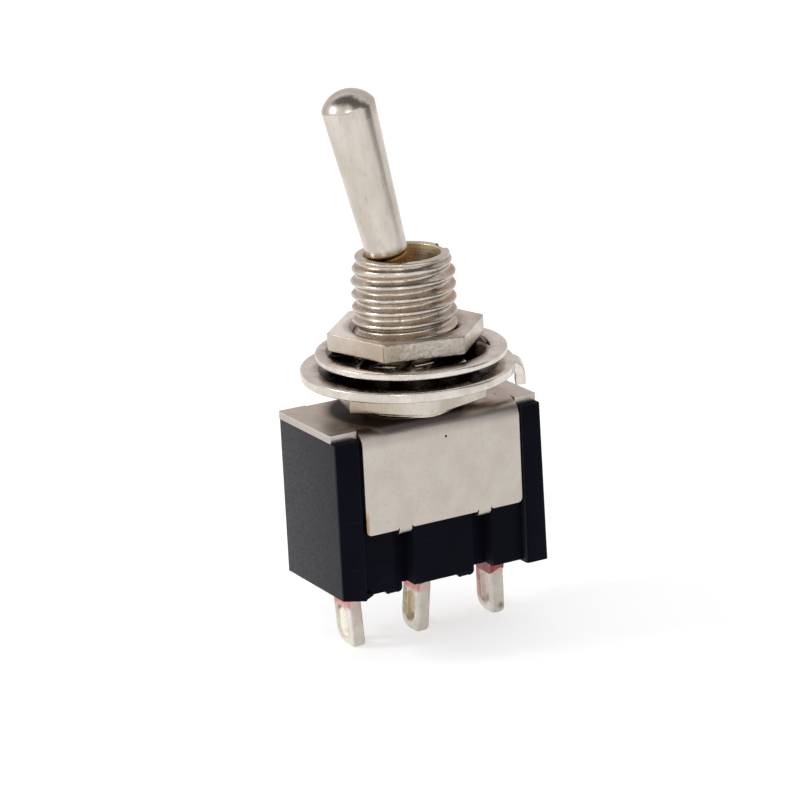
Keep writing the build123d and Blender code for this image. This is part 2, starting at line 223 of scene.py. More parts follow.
def skin(rows, closed=False):
    """Surface through rings of points: a ring of one point is a pole, an open end is capped."""
    bm = bmesh.new()
    rings = [[bm.verts.new(p) for p in row] for row in rows]
    pairs = list(zip(rings, rings[1:]))
    if closed:
        pairs.append((rings[-1], rings[0]))
    else:
        for end in (rings[0], rings[-1]):
            if len(end) > 2:
                bm.faces.new(end)
    for a, b in pairs:
        count = max(len(a), len(b))
        for i in range(count):
            j = (i + 1) % count
            corners = (a[i % len(a)], a[j % len(a)], b[j % len(b)], b[i % len(b)])
            bm.faces.new(tuple(dict.fromkeys(corners)))
    bmesh.ops.recalc_face_normals(bm, faces=bm.faces)
    return bm


def ring(radius, z, columns, start=0.0):
    """Ring of points about Z, or the single point on the axis."""
    if radius == 0:
        return [(0, 0, z)]
    angles = [start + TURN * k / columns for k in range(columns)]
    return [(radius * math.cos(a), radius * math.sin(a), z) for a in angles]


def turned(profile, columns=96, closed=False):
    """Turned shape about Z from (radius, height) points."""
    return skin([ring(r, z, columns) for r, z in profile], closed)


def rod(radius, reach, columns):
    """Solid cylinder about Z that reaches equally far up and down."""
    return turned([(0, -reach), (radius, -reach), (radius, reach), (0, reach)], columns)


def rounded_section(half_x, half_y, radius, steps=3):
    """Outline of a rectangle with rounded corners."""
    points = []
    for x, y, start in ((1, 1, 0), (-1, 1, 90), (-1, -1, 180), (1, -1, 270)):
        points += arc(x * (half_x - radius), y * (half_y - radius), radius, start, start + 90, steps)
    return points


def divided(points, per_side, steps):
    """Outline of rounded corners, each of so many steps, with points added along the sides between them."""
    dense = []
    for k, point in enumerate(points):
        side, last = divmod(k, steps + 1)
        pieces = per_side[side] if last == steps else 1
        after = Vector(points[(k + 1) % len(points)])
        dense += [tuple(Vector(point).lerp(after, n / pieces)) for n in range(pieces)]
    return dense


def is_level(edge):
    return abs(edge.verts[0].co.z - edge.verts[1].co.z) < 1e-6


def bevel(bm, edges, offset, segments, **more):
    bmesh.ops.bevel(bm, geom=edges, offset=offset, segments=segments, profile=0.5, affect="EDGES", **more)


def block(low, high, edge=0.0, upright=None, steps=3):
    """Box between two corners, with its upright edges rounded first and then the rest."""
    low, high = Vector(low), Vector(high)
    bm = bmesh.new()
    size = Matrix.Diagonal(high - low).to_4x4()
    bmesh.ops.create_cube(bm, size=1, matrix=Matrix.Translation((low + high) / 2) @ size)
    upright = edge if upright is None else upright
    if upright:
        bevel(bm, [e for e in bm.edges if not is_level(e)], upright, steps)
    if edge:
        bevel(bm, [e for e in bm.edges if is_level(e)], edge, steps)
    return bm


def moved(bm, matrix):
    """The same mesh, moved."""
    bmesh.ops.transform(bm, matrix=matrix, verts=bm.verts)
    return bm


def show(name, data):
    """New object in the scene."""
    made = bpy.data.objects.new(name, data)
    scene.collection.objects.link(made)
    return made


def combined(base, tool, operation="DIFFERENCE"):
    """Exact boolean of two closed meshes, which are used up."""
    parts = []
    for bm in (base, tool):
        mesh = bpy.data.meshes.new("part")
        bm.to_mesh(mesh)
        bm.free()
        parts.append(show("part", mesh))
    modifier = parts[0].modifiers.new("combine", "BOOLEAN")
    modifier.operation = operation
    modifier.solver = "EXACT"
    modifier.object = parts[1]
    shaped = parts[0].evaluated_get(bpy.context.evaluated_depsgraph_get())
    made = bpy.data.meshes.new_from_object(shaped)
    result = bmesh.new()
    result.from_mesh(made)
    for part in parts:
        bpy.data.meshes.remove(part.data)
    bpy.data.meshes.remove(made)
    return result


def piece(name, bm, finishes, nodes, body="root", crease=32):
    """Turns a mesh in millimetres into a shown piece that stands for CAD nodes."""
    mesh = bpy.data.meshes.new(name)
    bm.to_mesh(mesh)
    bm.free()
    mesh.transform(Matrix.Scale(MM, 4))
    mesh.shade_smooth()
    mesh.set_sharp_from_angle(angle=math.radians(crease))
    for finish in finishes:
        mesh.materials.append(finish)
    made = show(name, mesh)
    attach(made, body)
    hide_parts(*nodes)
    return made


# ---------------------------------------------------------------- materials
def srgb(red, green, blue):
    """Linear colour of an 8-bit colour."""
    def linear(level):
        share = level / 255
        return share / 12.92 if share <= 0.04045 else ((share + 0.055) / 1.055) ** 2.4

    return (linear(red), linear(green), linear(blue), 1.0)


def add_node(tree, kind, inputs, **settings):
    """New shader node with its settings. Each input is a value or the socket that feeds it."""
    made = tree.nodes.new("ShaderNode" + kind)
    for key, value in settings.items():
        setattr(made, key, value)
    for key, value in inputs.items():
        if isinstance(value, bpy.types.NodeSocket):
            tree.links.new(value, made.inputs[key])
        else:
            made.inputs[key].default_value = value
    return made


class Finish:
    """A Principled material built up from stains. Its texture space is the piece's own, in millimetres."""

    def __init__(self, name, **settings):
        self.made = bpy.data.materials.new(name)
        self.made.use_nodes = True
        self.tree = self.made.node_tree
        self.shader = self.tree.nodes["Principled BSDF"]
        self.normal = self.tone = None
        for key, value in settings.items():
            self.shader.inputs[key.replace("_", " ")].default_value = value
        coordinates = self.tree.nodes.new("ShaderNodeTexCoord").outputs["Object"]
        self.space = self.vector("SCALE", coordinates, Scale=1 / MM)

    def node(self, kind, inputs, **settings):
        return add_node(self.tree, kind, inputs, **settings)

    def vector(self, operation, a, b=None, **named):
        inputs = {0: a, **named} if b is None else {0: a, 1: b, **named}
        made = self.node("VectorMath", inputs, operation=operation)
        return made.outputs["Value" if operation in ("DISTANCE", "LENGTH", "DOT_PRODUCT") else "Vector"]

    def math(self, operation, a, b=0.0):
        return self.node("Math", {0: a, 1: b}, operation=operation).outputs[0]

    def lean(self, centre, degrees):
        """Turns the texture space about the Y axis through a point."""
        inputs = {"Vector": self.space, "Center": centre, "Angle": math.radians(degrees)}
        self.space = self.node("VectorRotate", inputs, rotation_type="Y_AXIS").outputs["Vector"]

    def axis(self, name):
        return self.node("SeparateXYZ", {0: self.space}).outputs[name]

    def facing(self, name, normal="True Normal"):
        """One component of the surface's normal."""
        geometry = self.node("NewGeometry", {})
        return self.node("SeparateXYZ", {0: geometry.outputs[normal]}).outputs[name]

    def radial(self, centre=(0, 0, 0)):
        """Distance from an upright axis."""
        apart = self.vector("SUBTRACT", self.space, centre)
        return self.vector("LENGTH", self.vector("MULTIPLY", apart, (1, 1, 0)))

    def noise(self, scale, detail=3.0, stretch=(1, 1, 1), shift=0.0, roughness=0.55):
        """Noise from 0 to 1, its scale in cycles a millimetre."""
        space = self.vector("MULTIPLY", self.space, stretch)
        space = self.vector("ADD", space, (shift, shift * 1.7, shift * 0.6))
        inputs = {"Vector": space, "Scale": scale, "Detail": detail, "Roughness": roughness}
        return self.node("TexNoise", inputs).outputs["Fac"]

    def fade(self, value, low, high, start=0.0, end=1.0):
        """Smooth step of a value, from start at low to end at high."""
        inputs = {"Value": value, "From Min": low, "From Max": high, "To Min": start, "To Max": end}
        return self.node("MapRange", inputs, interpolation_type="SMOOTHSTEP").outputs["Result"]

    def fall(self, value, low, high):
        """Smooth step of a value, from 1 at low to 0 at high."""
        return self.fade(value, low, high, 1.0, 0.0)

    def near(self, point, inner, outer):
        """1 within inner millimetres of a point, 0 beyond outer."""
        return self.fall(self.vector("DISTANCE", self.space, point), inner, outer)

    def pits(self, scale, low, high, shift):
        """Round spots where random cells fall below a size."""
        space = self.vector("ADD", self.space, (shift, shift, shift))
        cells = self.node("TexVoronoi", {"Vector": space, "Scale": scale, "Randomness": 1.0})
        return self.fall(cells.outputs["Distance"], low, high)

    def both(self, result, *masks):
        for mask in masks:
            result = self.math("MULTIPLY", result, mask)
        return result

    def blend(self, share, a, b):
        return self.node("Mix", {0: share, 6: a, 7: b}, data_type="RGBA").outputs[2]

    def mottle(self, cloud, light, shade, low=0.3, high=0.7):
        """Starts the tone as light, with shade where a noise is high."""
        self.tone = self.blend(self.fade(cloud, low, high), srgb(*light), srgb(*shade))

    def stain(self, mask, strength, colour):
        """Turns the tone towards a colour within a mask."""
        self.tone = self.blend(self.math("MULTIPLY", mask, strength), self.tone, srgb(*colour))

    def feed(self, name, value):
        self.tree.links.new(value, self.shader.inputs[name])

    def rough(self, value, smoothest, roughest):
        self.feed("Roughness", self.fade(value, 0.3, 0.7, smoothest, roughest))

    def bump(self, height, depth, strength=1.0):
        """Adds relief of a depth in millimetres."""
        inputs = {"Height": height, "Distance": depth * MM, "Strength": strength}
        if self.normal is not None:
            inputs["Normal"] = self.normal
        self.normal = self.node("Bump", inputs).outputs["Normal"]
        self.feed("Normal", self.normal)

    def dent(self, mask, depth, strength):
        self.bump(self.math("SUBTRACT", 1.0, mask), depth, strength)

    def done(self):
        """The material, in the tone that its stains have made."""
        self.feed("Base Color", self.tone)
        return self.made


NICKEL_BROWN = (112, 90, 70)
PIT_BROWN = (82, 62, 48)


def plated(name, rough, grain, relief, light=(207, 199, 190), shade=(191, 182, 171),
           stretch=(1, 1, 1), lean=None):
    """Dull nickel plate: soft cloudy patches, fine grain and a few tiny pits."""
    made = Finish(name, Metallic=1.0)
    if lean:
        made.lean(*lean)
    cloud = made.noise(0.8, 4.0, stretch)
    fine = made.noise(grain, 3.0, stretch, shift=11.0)
    pits = made.both(made.pits(2.3, 0.03, 0.08, 4.0), made.fade(made.noise(0.9, 1.0, shift=31.0), 0.6, 0.7))
    made.mottle(cloud, light, shade, 0.35, 0.66)
    made.stain(made.fade(fine, 0.54, 0.76), 0.2, NICKEL_BROWN)
    made.stain(pits, 0.6, PIT_BROWN)
    made.rough(made.math("ADD", made.both(cloud, 0.6), made.both(fine, 0.4)), *rough)
    made.bump(fine, relief)
    made.dent(pits, 0.02, 0.6)
    return made


def lever_finish():
    """Satin nickel with a browned neck and a painted warm highlight on the shoulder; its texture runs along
    the lever.
    """
    pivot = (0, 0, PIVOT)
    made = plated("lever_nickel", (0.21, 0.29), 6.0, 0.002, stretch=(1, 1, 0.35), lean=(pivot, LEAN))
    along = made.axis("Z")
    shoulder = PIVOT + SHANK_START
    # painted highlight: a golden band round the rounded shoulder
    made.stain(made.fall(along, shoulder - 0.05, shoulder + 0.3), 0.8, (206, 168, 110))
    made.stain(made.fall(along, shoulder - 0.4, shoulder - 0.15), 0.8, (120, 80, 44))
    made.stain(made.fade(made.noise(2.2, 2.0, (1, 1, 0.4), 5.0), 0.64, 0.76), 0.12, NICKEL_BROWN)
    return made.done()


def thread_finish():
    """Plated brass thread: brown upper flanks, partly tarnish and partly painted shade where they face the
    dark above, pale crests, bright root lines and small flecks.
    """
    made = plated("thread_nickel", (0.2, 0.32), 5.0, 0.006)
    z = made.axis("Z")
    angle = made.math("ARCTAN2", made.axis("Y"), made.axis("X"))
    rise = made.both(made.math("SUBTRACT", angle, FRONT_ANGLE), PITCH / TURN)
    climbed = made.math("SUBTRACT", made.math("SUBTRACT", z, FRONT_CREST), rise)
    phase = made.math("FRACT", made.math("DIVIDE", climbed, PITCH))
    # brown on the flanks: partly tarnish, partly painted shade where the upper flanks face the dark above
    upper = made.both(made.fade(phase, 0.08, 0.24), made.fall(phase, 0.34, 0.46))
    lower = made.both(made.fade(phase, 0.74, 0.82), made.fall(phase, 0.86, 0.93), 0.5)
    below_nose = made.fall(z, nose_top - 0.2, nose_top - 0.1)
    patchy = made.fade(made.noise(0.7, 3.0, shift=8.0), 0.3, 0.62, 0.4, 1.0)
    made.stain(made.both(made.math("MAXIMUM", upper, lower), below_nose, patchy), 0.7, (150, 122, 90))
    flecks = made.fade(made.noise(4.5, 3.0, (1, 1, 2), 17.0), 0.58, 0.7)
    made.stain(made.both(flecks, below_nose, made.fade(phase, 0.05, 0.15)), 0.6, (118, 86, 52))
    inside = made.fall(made.radial(), MOUTH_RADIUS + 0.02, MOUTH_RADIUS + 0.16)
    made.stain(made.both(inside, made.fade(z, nose_top - 0.25, nose_top - 0.12)), 0.7, (196, 164, 108))
    made.bump(made.noise(3.0, 4.0, (1, 1, 3), 3.0), 0.014, 0.7)
    return made.done()


def brass_finish():
    """Bare brass of the bore, with painted shade further down."""
    made = Finish("bore_brass", Metallic=1.0)
    cloud = made.noise(1.6, 3.0)
    made.mottle(cloud, (230, 220, 192), (210, 195, 162))
    # painted shade: the brass turns dark brown deeper in the bore
    made.stain(made.fall(made.axis("Z"), nose_top - 2.6, nose_top - 1.0), 0.7, (122, 96, 68))
    made.rough(cloud, 0.24, 0.4)
    made.bump(made.noise(1.0, 2.0, (0.3, 0.3, 12.0)), 0.012)
    return made.done()


def nut_finish(name, sheared=None):
    """Pressed nut: matte faces, a painted highlight on the left of its top, a stained ring by the thread; a
    sheared side is speckled.
    """
    made = plated(name, (0.24, 0.36), 8.0, 0.005, light=(202, 194, 183), shade=(186, 176, 163))
    # painted highlight: up-facing faces on the left are made pale, as light would make them
    pale = made.both(made.fade(made.facing("Z"), 0.8, 0.95), made.fall(made.axis("X"), -2.6, 1.2))
    made.stain(pale, 0.9, (252, 243, 236))
    patchy = made.fade(made.noise(0.9, 3.0, shift=21.0), 0.3, 0.6, 0.4, 1.0)
    ring_mark = made.fall(made.radial(), thread_radius + 0.35, thread_radius + 0.75)
    made.stain(made.both(ring_mark, patchy), 0.45, (104, 84, 66))
    handled = made.vector("DOT_PRODUCT", made.space, (-0.87, -0.5, 0))
    made.stain(made.fade(handled, 3.3, 4.1), 0.5, (162, 142, 120))
    if sheared is not None:
        depth = made.vector("DOT_PRODUCT", made.space, compass(sheared))
        side = made.fade(depth, ACROSS_FLATS / 2 - 0.16, ACROSS_FLATS / 2 - 0.06)
        coarse = made.noise(5.5, 4.0, shift=2.0, roughness=0.7)
        made.bump(made.both(coarse, side), 0.09, 0.8)
        made.stain(made.both(side, made.fade(coarse, 0.5, 0.66)), 0.4, (96, 78, 66))
    return made.done()


def washer_finish(name, shade_radius, centre=(0, 0, 0), light=(218, 211, 203), shade=(200, 192, 183)):
    """Plated washer, nearly black within a radius round a centre: painted shade where parts above cover it,
    with painted glints, and browner just outside it.
    """
    made = plated(name, (0.2, 0.32), 8.0, 0.004, light=light, shade=shade)
    radial = made.radial(centre)
    patchy = made.fade(made.noise(1.1, 3.0, shift=13.0), 0.3, 0.6, 0.3, 1.0)
    made.stain(made.both(made.fall(radial, shade_radius, shade_radius + 0.5), patchy), 0.6, (120, 94, 76))
    # painted shade: nearly black where the parts above cover the washer, with pale painted glints in it
    painted_gap_shade = made.fall(radial, shade_radius - 0.12, shade_radius + 0.03)
    painted_glints = made.fade(made.noise(0.8, 2.0, shift=17.0), 0.56, 0.7, 0.0, 0.75)
    dark = made.blend(painted_glints, srgb(24, 14, 10), srgb(168, 138, 120))
    made.tone = made.blend(made.both(painted_gap_shade, 0.96), made.tone, dark)
    return made.done()


def frame_finish():
    """Plated sheet: stained plate, a painted shadow under the nut, a painted reflection along the bends,
    matte flaps with pits, and rust by one flap's edge.
    """
    made = plated("sheet_nickel", (0.3, 0.36), 6.5, 0.004, light=(193, 186, 176), shade=(188, 180, 170))
    height = made.axis("Z")
    up = made.fade(height, -0.35, -0.03)
    patchy = made.fade(made.noise(0.55, 4.0, shift=6.0), 0.34, 0.6, 0.25, 1.0)
    made.stain(made.both(up, made.fall(made.radial(), 4.2, 6.4), patchy), 0.7, (150, 112, 86))
    patchy = made.fade(made.noise(1.3, 3.0, shift=3.0), 0.28, 0.52)
    made.stain(made.both(up, made.near(LEFT_STAIN, 0.6, 2.1), patchy), 0.85, (146, 116, 96))
    # painted shadow under the lower nut: nearly black, and less metallic and glossy
    painted_gap_shade = made.both(made.fade(height, -0.6, -0.3), made.near(NUT_SHADOW_CENTRE, 3.6, 4.4))
    made.stain(painted_gap_shade, 0.95, (28, 16, 12))
    made.feed("Metallic", made.fall(painted_gap_shade, 0.2, 1.0))
    made.feed("Specular IOR Level", made.fade(painted_gap_shade, 0.2, 1.0, 0.5, 0.03))
    rust = made.near((flap_left, -half_width, -FLAP_DROP + 0.65), 0.35, 0.95)
    by_edge = made.fall(made.axis("X"), flap_left + 0.06, flap_left + 0.26)
    patchy = made.fade(made.noise(4.0, 3.0, shift=9.0), 0.3, 0.5, 0.5, 1.0)
    made.stain(made.both(rust, by_edge, patchy), 0.75, (160, 108, 56))
    for spot in (FLAP_PIT, PLATE_PIT):
        pit = made.near(spot, PIT_RADIUS / 2, PIT_RADIUS)
        made.stain(pit, 1.0, (30, 22, 18))
        made.dent(pit, 0.05, 0.8)
    # painted reflection: a lilac-grey band along the bends just below the plate
    bend = made.both(made.fade(height, -0.05, -0.2), made.fade(height, -1.2, -0.85))
    made.stain(bend, 0.35, (158, 146, 146))
    made.bump(made.noise(0.5, 2.0, shift=1.0), 0.008, 0.4)
    return made.done()


def case_finish():
    """Black thermoset with painted light on its end faces: very fine grain, faint flow clouds and a few pale
    scuffs.
    """
    made = Finish("black_thermoset", IOR=1.45)
    made.mottle(made.noise(0.35, 4.0), (7, 9, 19), (12, 14, 26))
    # painted light: faces that face along X are made greyer and glossier, as the lit end wall looks
    ends = made.fade(made.math("ABSOLUTE", made.facing("X")), 0.6, 0.95)
    made.stain(ends, 1.0, (24, 25, 31))
    made.stain(made.fade(made.noise(2.4, 4.0, (0.25, 1, 1.6), 7.0), 0.64, 0.8), 0.22, (46, 46, 52))
    made.feed("Specular IOR Level", made.fade(ends, 0.0, 1.0, 0.055, 0.33))
    grain = made.noise(9.0, 3.0, shift=2.0)
    made.rough(grain, 0.4, 0.56)
    made.bump(grain, 0.008, 0.7)
    made.bump(made.noise(0.6, 2.0, shift=4.0), 0.02, 0.5)
    return made.done()


def lug_finish(name, centre_x, look):
    """Hot-tinned copper lug: pale and lumpy, its broad faces painted lighter than its edges, pinkish under
    its epoxy, stained round its slot and at one spot; the slot itself is painted pale as a highlight and
    glows.
    """
    made = Finish(name, Metallic=0.45)
    cloud = made.noise(1.1, 4.0, shift=centre_x)
    fine = made.noise(1.9, 4.0, shift=centre_x + 3)
    height, across = made.axis("Z"), made.axis("Y")
    tip = lug_low.z
    # painted light: the broad faces get a paler copy of the tone than the edges
    made.mottle(cloud, (250, 246, 238), (232, 225, 212), 0.32, 0.68)
    painted_lit_tone = made.tone
    made.mottle(cloud, (224, 217, 207), (208, 199, 188), 0.32, 0.68)
    flat = made.fade(made.math("ABSOLUTE", made.facing("X", "Normal")), 0.5, 0.9)
    made.tone = made.blend(flat, made.tone, painted_lit_tone)
    radius = EYE_WIDTH / 2
    along = made.math("ABSOLUTE", made.math("SUBTRACT", height, tip + EYE_MARGIN + EYE_LENGTH / 2))
    along = made.math("MAXIMUM", made.math("SUBTRACT", along, EYE_LENGTH / 2 - radius), 0.0)
    reach = made.math("SQRT", made.math("ADD", made.both(along, along), made.both(across, across)))
    # painted highlight: the slot takes the look's pale slot colour
    slot = made.fall(reach, radius, radius + 0.06)
    made.stain(slot, 1.0, look["slot"])
    outside = made.fade(reach, radius - 0.02, radius + 0.04)
    close = made.fall(reach, radius + 0.08, radius + 0.2)
    made.stain(made.both(outside, close, made.fade(fine, 0.34, 0.6, 0.2, 1.0)), 0.5, (190, 154, 92))
    beside = made.both(flat, made.fade(across, 0.3, 0.5), made.fade(height, tip + 0.5, tip + 1.0))
    made.stain(made.both(beside, made.fade(fine, 0.3, 0.55, 0.45, 0.9)), 1.0, look["beside"])
    wavy = made.math("ADD", height, made.both(made.math("SUBTRACT", fine, 0.5), 0.9))
    film_end = base_z - look["pink"]
    film = made.both(made.fade(wavy, film_end, film_end + 0.45), made.fade(flat, 0.0, 1.0, 0.25, 0.8))
    made.stain(film, 1.0, (222, 112, 108))
    offset, spot_y, spot_z = look["spot"]
    made.stain(made.near((centre_x + offset, spot_y, tip + spot_z), 0.05, 0.32), 0.8, (112, 74, 44))
    # painted light: the slot glows in its own tone, though it is no lamp
    made.feed("Emission Color", made.tone)
    made.feed("Emission Strength", made.both(slot, look["glow"]))
    made.rough(cloud, 0.24, 0.4)
    made.bump(made.noise(1.4, 3.0, shift=centre_x + 5), 0.03, 0.5)
    return made.done()


def epoxy_finish():
    """Thin red potting epoxy over the lugs."""
    made = Finish("red_epoxy", Transmission_Weight=0.5, IOR=1.5)
    cloud = made.noise(1.5, 3.0)
    made.mottle(cloud, (232, 112, 108), (206, 62, 62))
    made.rough(cloud, 0.15, 0.35)
    made.bump(made.noise(2.5, 2.0, shift=4.0), 0.02)
    return made.done()


def inner_finish(name, light, shade, rough, metallic, scale=4.0):
    """Plain mottled finish for the pieces inside the case."""
    made = Finish(name, Metallic=metallic)
    cloud = made.noise(scale, 3.0)
    made.mottle(cloud, light, shade)
    made.rough(cloud, rough, rough + 0.15)
    made.bump(made.noise(scale * 3, 2.0, shift=2.0), 0.006)
    return made.done()


# ---------------------------------------------------------------- pieces
def thread_outline(angle, z):
    """Outer radius of the bushing: a rounded thread that grows shallow towards the rim."""
    phase = (z - FRONT_CREST) / PITCH - (angle - FRONT_ANGLE) / TURN
    crest = thread_radius + 0.02 - 0.15 * smooth(z, 7.6, 8.2) - 0.13 * smooth(z, 8.2, 8.6)
    root = ROOT_RADIUS - 0.05 * smooth(z, 7.9, 8.45)
    cut_share = smooth(z, 0.1, 0.5) * (1 - smooth(z, 8.5, 8.64))
    wave = (1 + math.cos(TURN * phase)) / 2
    return crest + (root - crest) * cut_share * (1 - wave**0.9)


def make_bushing():
    """Bushing with a true helical thread, a keyway, a tapered bore and slots for the cross pin."""
    turn = math.radians(KEYWAY_AZIMUTH)
    wall_angle = math.asin(KEYWAY_HALF / thread_radius)
    first_angle = wall_angle + 0.01
    columns = [("floor", KEYWAY_HALF * (k / 2 - 1)) for k in range(5)]
    columns.append(("wall", wall_angle))
    columns += [("free", first_angle + (TURN - 2 * first_angle) * k / 128) for k in range(1, 128)]
    columns.append(("wall", TURN - wall_angle))

    def outer(middle, radius=None, slope=0.0):
        """Ring at a mean height. With slope 1 it climbs with the thread, and drops back in the keyway."""
        row = []
        for kind, value in columns:
            angle = value if kind != "floor" else math.pi * (1 - value / KEYWAY_HALF)
            z = middle + slope * PITCH * (angle - math.pi) / TURN
            if kind == "floor":
                x, y = KEYWAY_FLOOR, value
            else:
                r = radius or thread_outline(value + turn, z)
                x, y = r * math.cos(value), r * math.sin(value)
            if kind == "wall":
                y = math.copysign(KEYWAY_HALF, y)
                x = math.sqrt(r * r - y * y)
            row.append((x, y, z))
        return row

    def inner(radius, z):
        return ring(radius, z, len(columns), -math.atan2(KEYWAY_HALF, KEYWAY_FLOOR))

    foot_z, start_z, end_z = 0.08, 0.9, 7.95
    nose_edge, lip_edge = 0.1, 0.08
    flat_rows, rows_per_turn, turns = 24, 18, 12
    collar = ((SPIGOT, bushing_low.z), (SPIGOT, 0.0), (thread_radius, 0.0), (thread_radius, 0.04))
    rows = [inner(r, z) for r, z in collar]
    for k in range(flat_rows):
        share = k / flat_rows
        rows.append(outer(foot_z + (start_z - foot_z) * share, slope=share))
    first = FRONT_CREST + PITCH * (math.pi - FRONT_ANGLE + turn) / TURN
    for n in range(-turns * rows_per_turn, 0):
        middle = first + PITCH * n / rows_per_turn
        if start_z < middle < end_z:
            rows.append(outer(middle, slope=1.0))
    last_z = nose_top - nose_edge - 0.02
    for k in range(1, flat_rows + 1):
        share = k / flat_rows
        rows.append(outer(end_z + (last_z - end_z) * share, slope=1 - share))
    rows += [outer(z, r) for r, z in arc(NOSE_RADIUS - nose_edge, nose_top - nose_edge, nose_edge, 0, 90, 5)]
    rows += [inner(r, z) for r, z in arc(MOUTH_RADIUS + lip_edge, nose_top - lip_edge, lip_edge, 90, 180, 4)]
    lip_z = PIVOT + math.sqrt(SOCKET**2 - LIP_RADIUS**2)
    mouth, lip = Vector((MOUTH_RADIUS, nose_top - lip_edge)), Vector((LIP_RADIUS, lip_z))
    rows += [inner(*mouth.lerp(lip, k / 6)) for k in range(1, 7)]
    sweep = math.degrees(math.asin((lip_z - PIVOT) / SOCKET))
    rows += [inner(r, z) for r, z in arc(0, PIVOT, SOCKET, sweep, 0, 8)[1:]]
    rows += [inner(SOCKET, 1.0), inner(FOOT_BORE, bushing_low.z)]
    bm = moved(skin(rows, closed=True), spin(KEYWAY_AZIMUTH))
    pin_slot = block((-PIN_SLOT, -PIN_SLOT_HALF, bushing_low.z - 1), (PIN_SLOT, PIN_SLOT_HALF, PIVOT))
    bm = combined(bm, pin_slot)
    for face in bm.faces:
        middle = face.calc_center_median()
        inside = math.hypot(middle.x, middle.y) < MOUTH_RADIUS + 0.06
        face.material_index = 1 if inside and middle.z < nose_top - 0.02 else 0
    finishes = (thread_finish(), brass_finish())
    return piece("threaded_bushing", bm, finishes, ["bushing"], crease=50)


def make_lever():
    """Turned lever: crowned tip with a crisp rim, long taper, rounded shoulder, neck, ball and stem."""
    dome_radius = (TIP**2 + DOME**2) / (2 * DOME)
    centre = SHANK_END + DOME - dome_radius
    rim = math.degrees(math.asin((SHANK_END - centre) / dome_radius))
    shoulder_edge, stem_edge = 0.3, 0.1
    shoulder, crown = SHANK_START + 0.05, SHANK_END - 0.03
    profile = [(0, -SPRING_BORE_TOP), (SPRING_BORE, -SPRING_BORE_TOP), (SPRING_BORE, -STEM_LENGTH)]
    profile += [(STEM - stem_edge, -STEM_LENGTH), (STEM, -STEM_LENGTH + stem_edge)]
    foot = -math.degrees(math.acos(STEM / BALL))
    head = math.degrees(math.acos(NECK / BALL))
    profile += arc(0, 0, BALL, foot, head, 24)
    profile.append((NECK, SHANK_START - shoulder_edge))
    turn = -math.degrees(math.acos((NECK - SHANK + shoulder_edge) / shoulder_edge))
    profile += arc(SHANK - shoulder_edge, shoulder, shoulder_edge, turn, 0, 8)
    low, high = Vector((SHANK, shoulder)), Vector((TIP, crown))
    profile += [tuple(low.lerp(high, k / 12)) for k in range(1, 13)]
    profile.append((TIP - 0.006, SHANK_END - 0.01))
    profile += arc(0, centre, dome_radius, rim + 0.6, 90, 16)[:-1]
    profile.append((0, SHANK_END + DOME))
    pin_hole = moved(rod(PIN_RADIUS, 3, 40), spin(90, "X"))
    bm = combined(turned(profile, 112), pin_hole)
    moved(bm, Matrix.Translation((-0.05, 0, PIVOT)) @ spin(-LEAN - 0.3, "Y"))
    return piece("bat_lever", bm, [lever_finish()], ["lever"], "lever", crease=28)


def make_spring(finish):
    """Compression spring in the lever's stem, built at one length: it does not shorten as the plunger slides
    up.
    """
    low, high = PLUNGER_SHANK - STEM_LENGTH + WIRE, -SPRING_BORE_TOP - WIRE
    coil = SPRING_BORE - SPRING_SIDE - WIRE
    turns = (high - low) / SPRING_PITCH
    steps = round(turns * 30)
    rows = []
    for k in range(steps + 1):
        a = TURN * turns * k / steps
        out = Vector((math.cos(a), math.sin(a), 0))
        along = Vector((-math.sin(a), math.cos(a), SPRING_PITCH / (TURN * coil))).normalized()
        centre = out * coil + Vector((0, 0, low + (high - low) * k / steps))
        rows.append([centre + (out * u + along.cross(out) * v) * WIRE for u, v in arc(0, 0, 1, 0, 330, 11)])
    lean = spin(-LEAN, "Y")
    bm = moved(skin(rows), Matrix.Translation((0, 0, PIVOT)) @ lean)
    made = piece("coil_spring", bm, [finish], ["plunger_spring"], body="lever")
    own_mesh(made)


def hexagon(apothem, corner, azimuth, z):
    """Ring of points round a hexagon with rounded corners."""
    reach = (apothem - corner) / math.cos(math.radians(30))
    corner_steps, side_steps = 4, 22
    points = []
    for middle in range(0, 360, 60):
        x, y, _ = compass(azimuth + middle) * reach
        points += arc(x, y, corner, azimuth + middle - 30, azimuth + middle + 30, corner_steps)
    return [(x, y, z) for x, y in divided(points, [side_steps] * 6, corner_steps)]


def facing_ring(outline, radius, z):
    """Ring with one point at the azimuth of each point of an outline."""
    return [(radius * x / math.hypot(x, y), radius * y / math.hypot(x, y), z) for x, y, _ in outline]


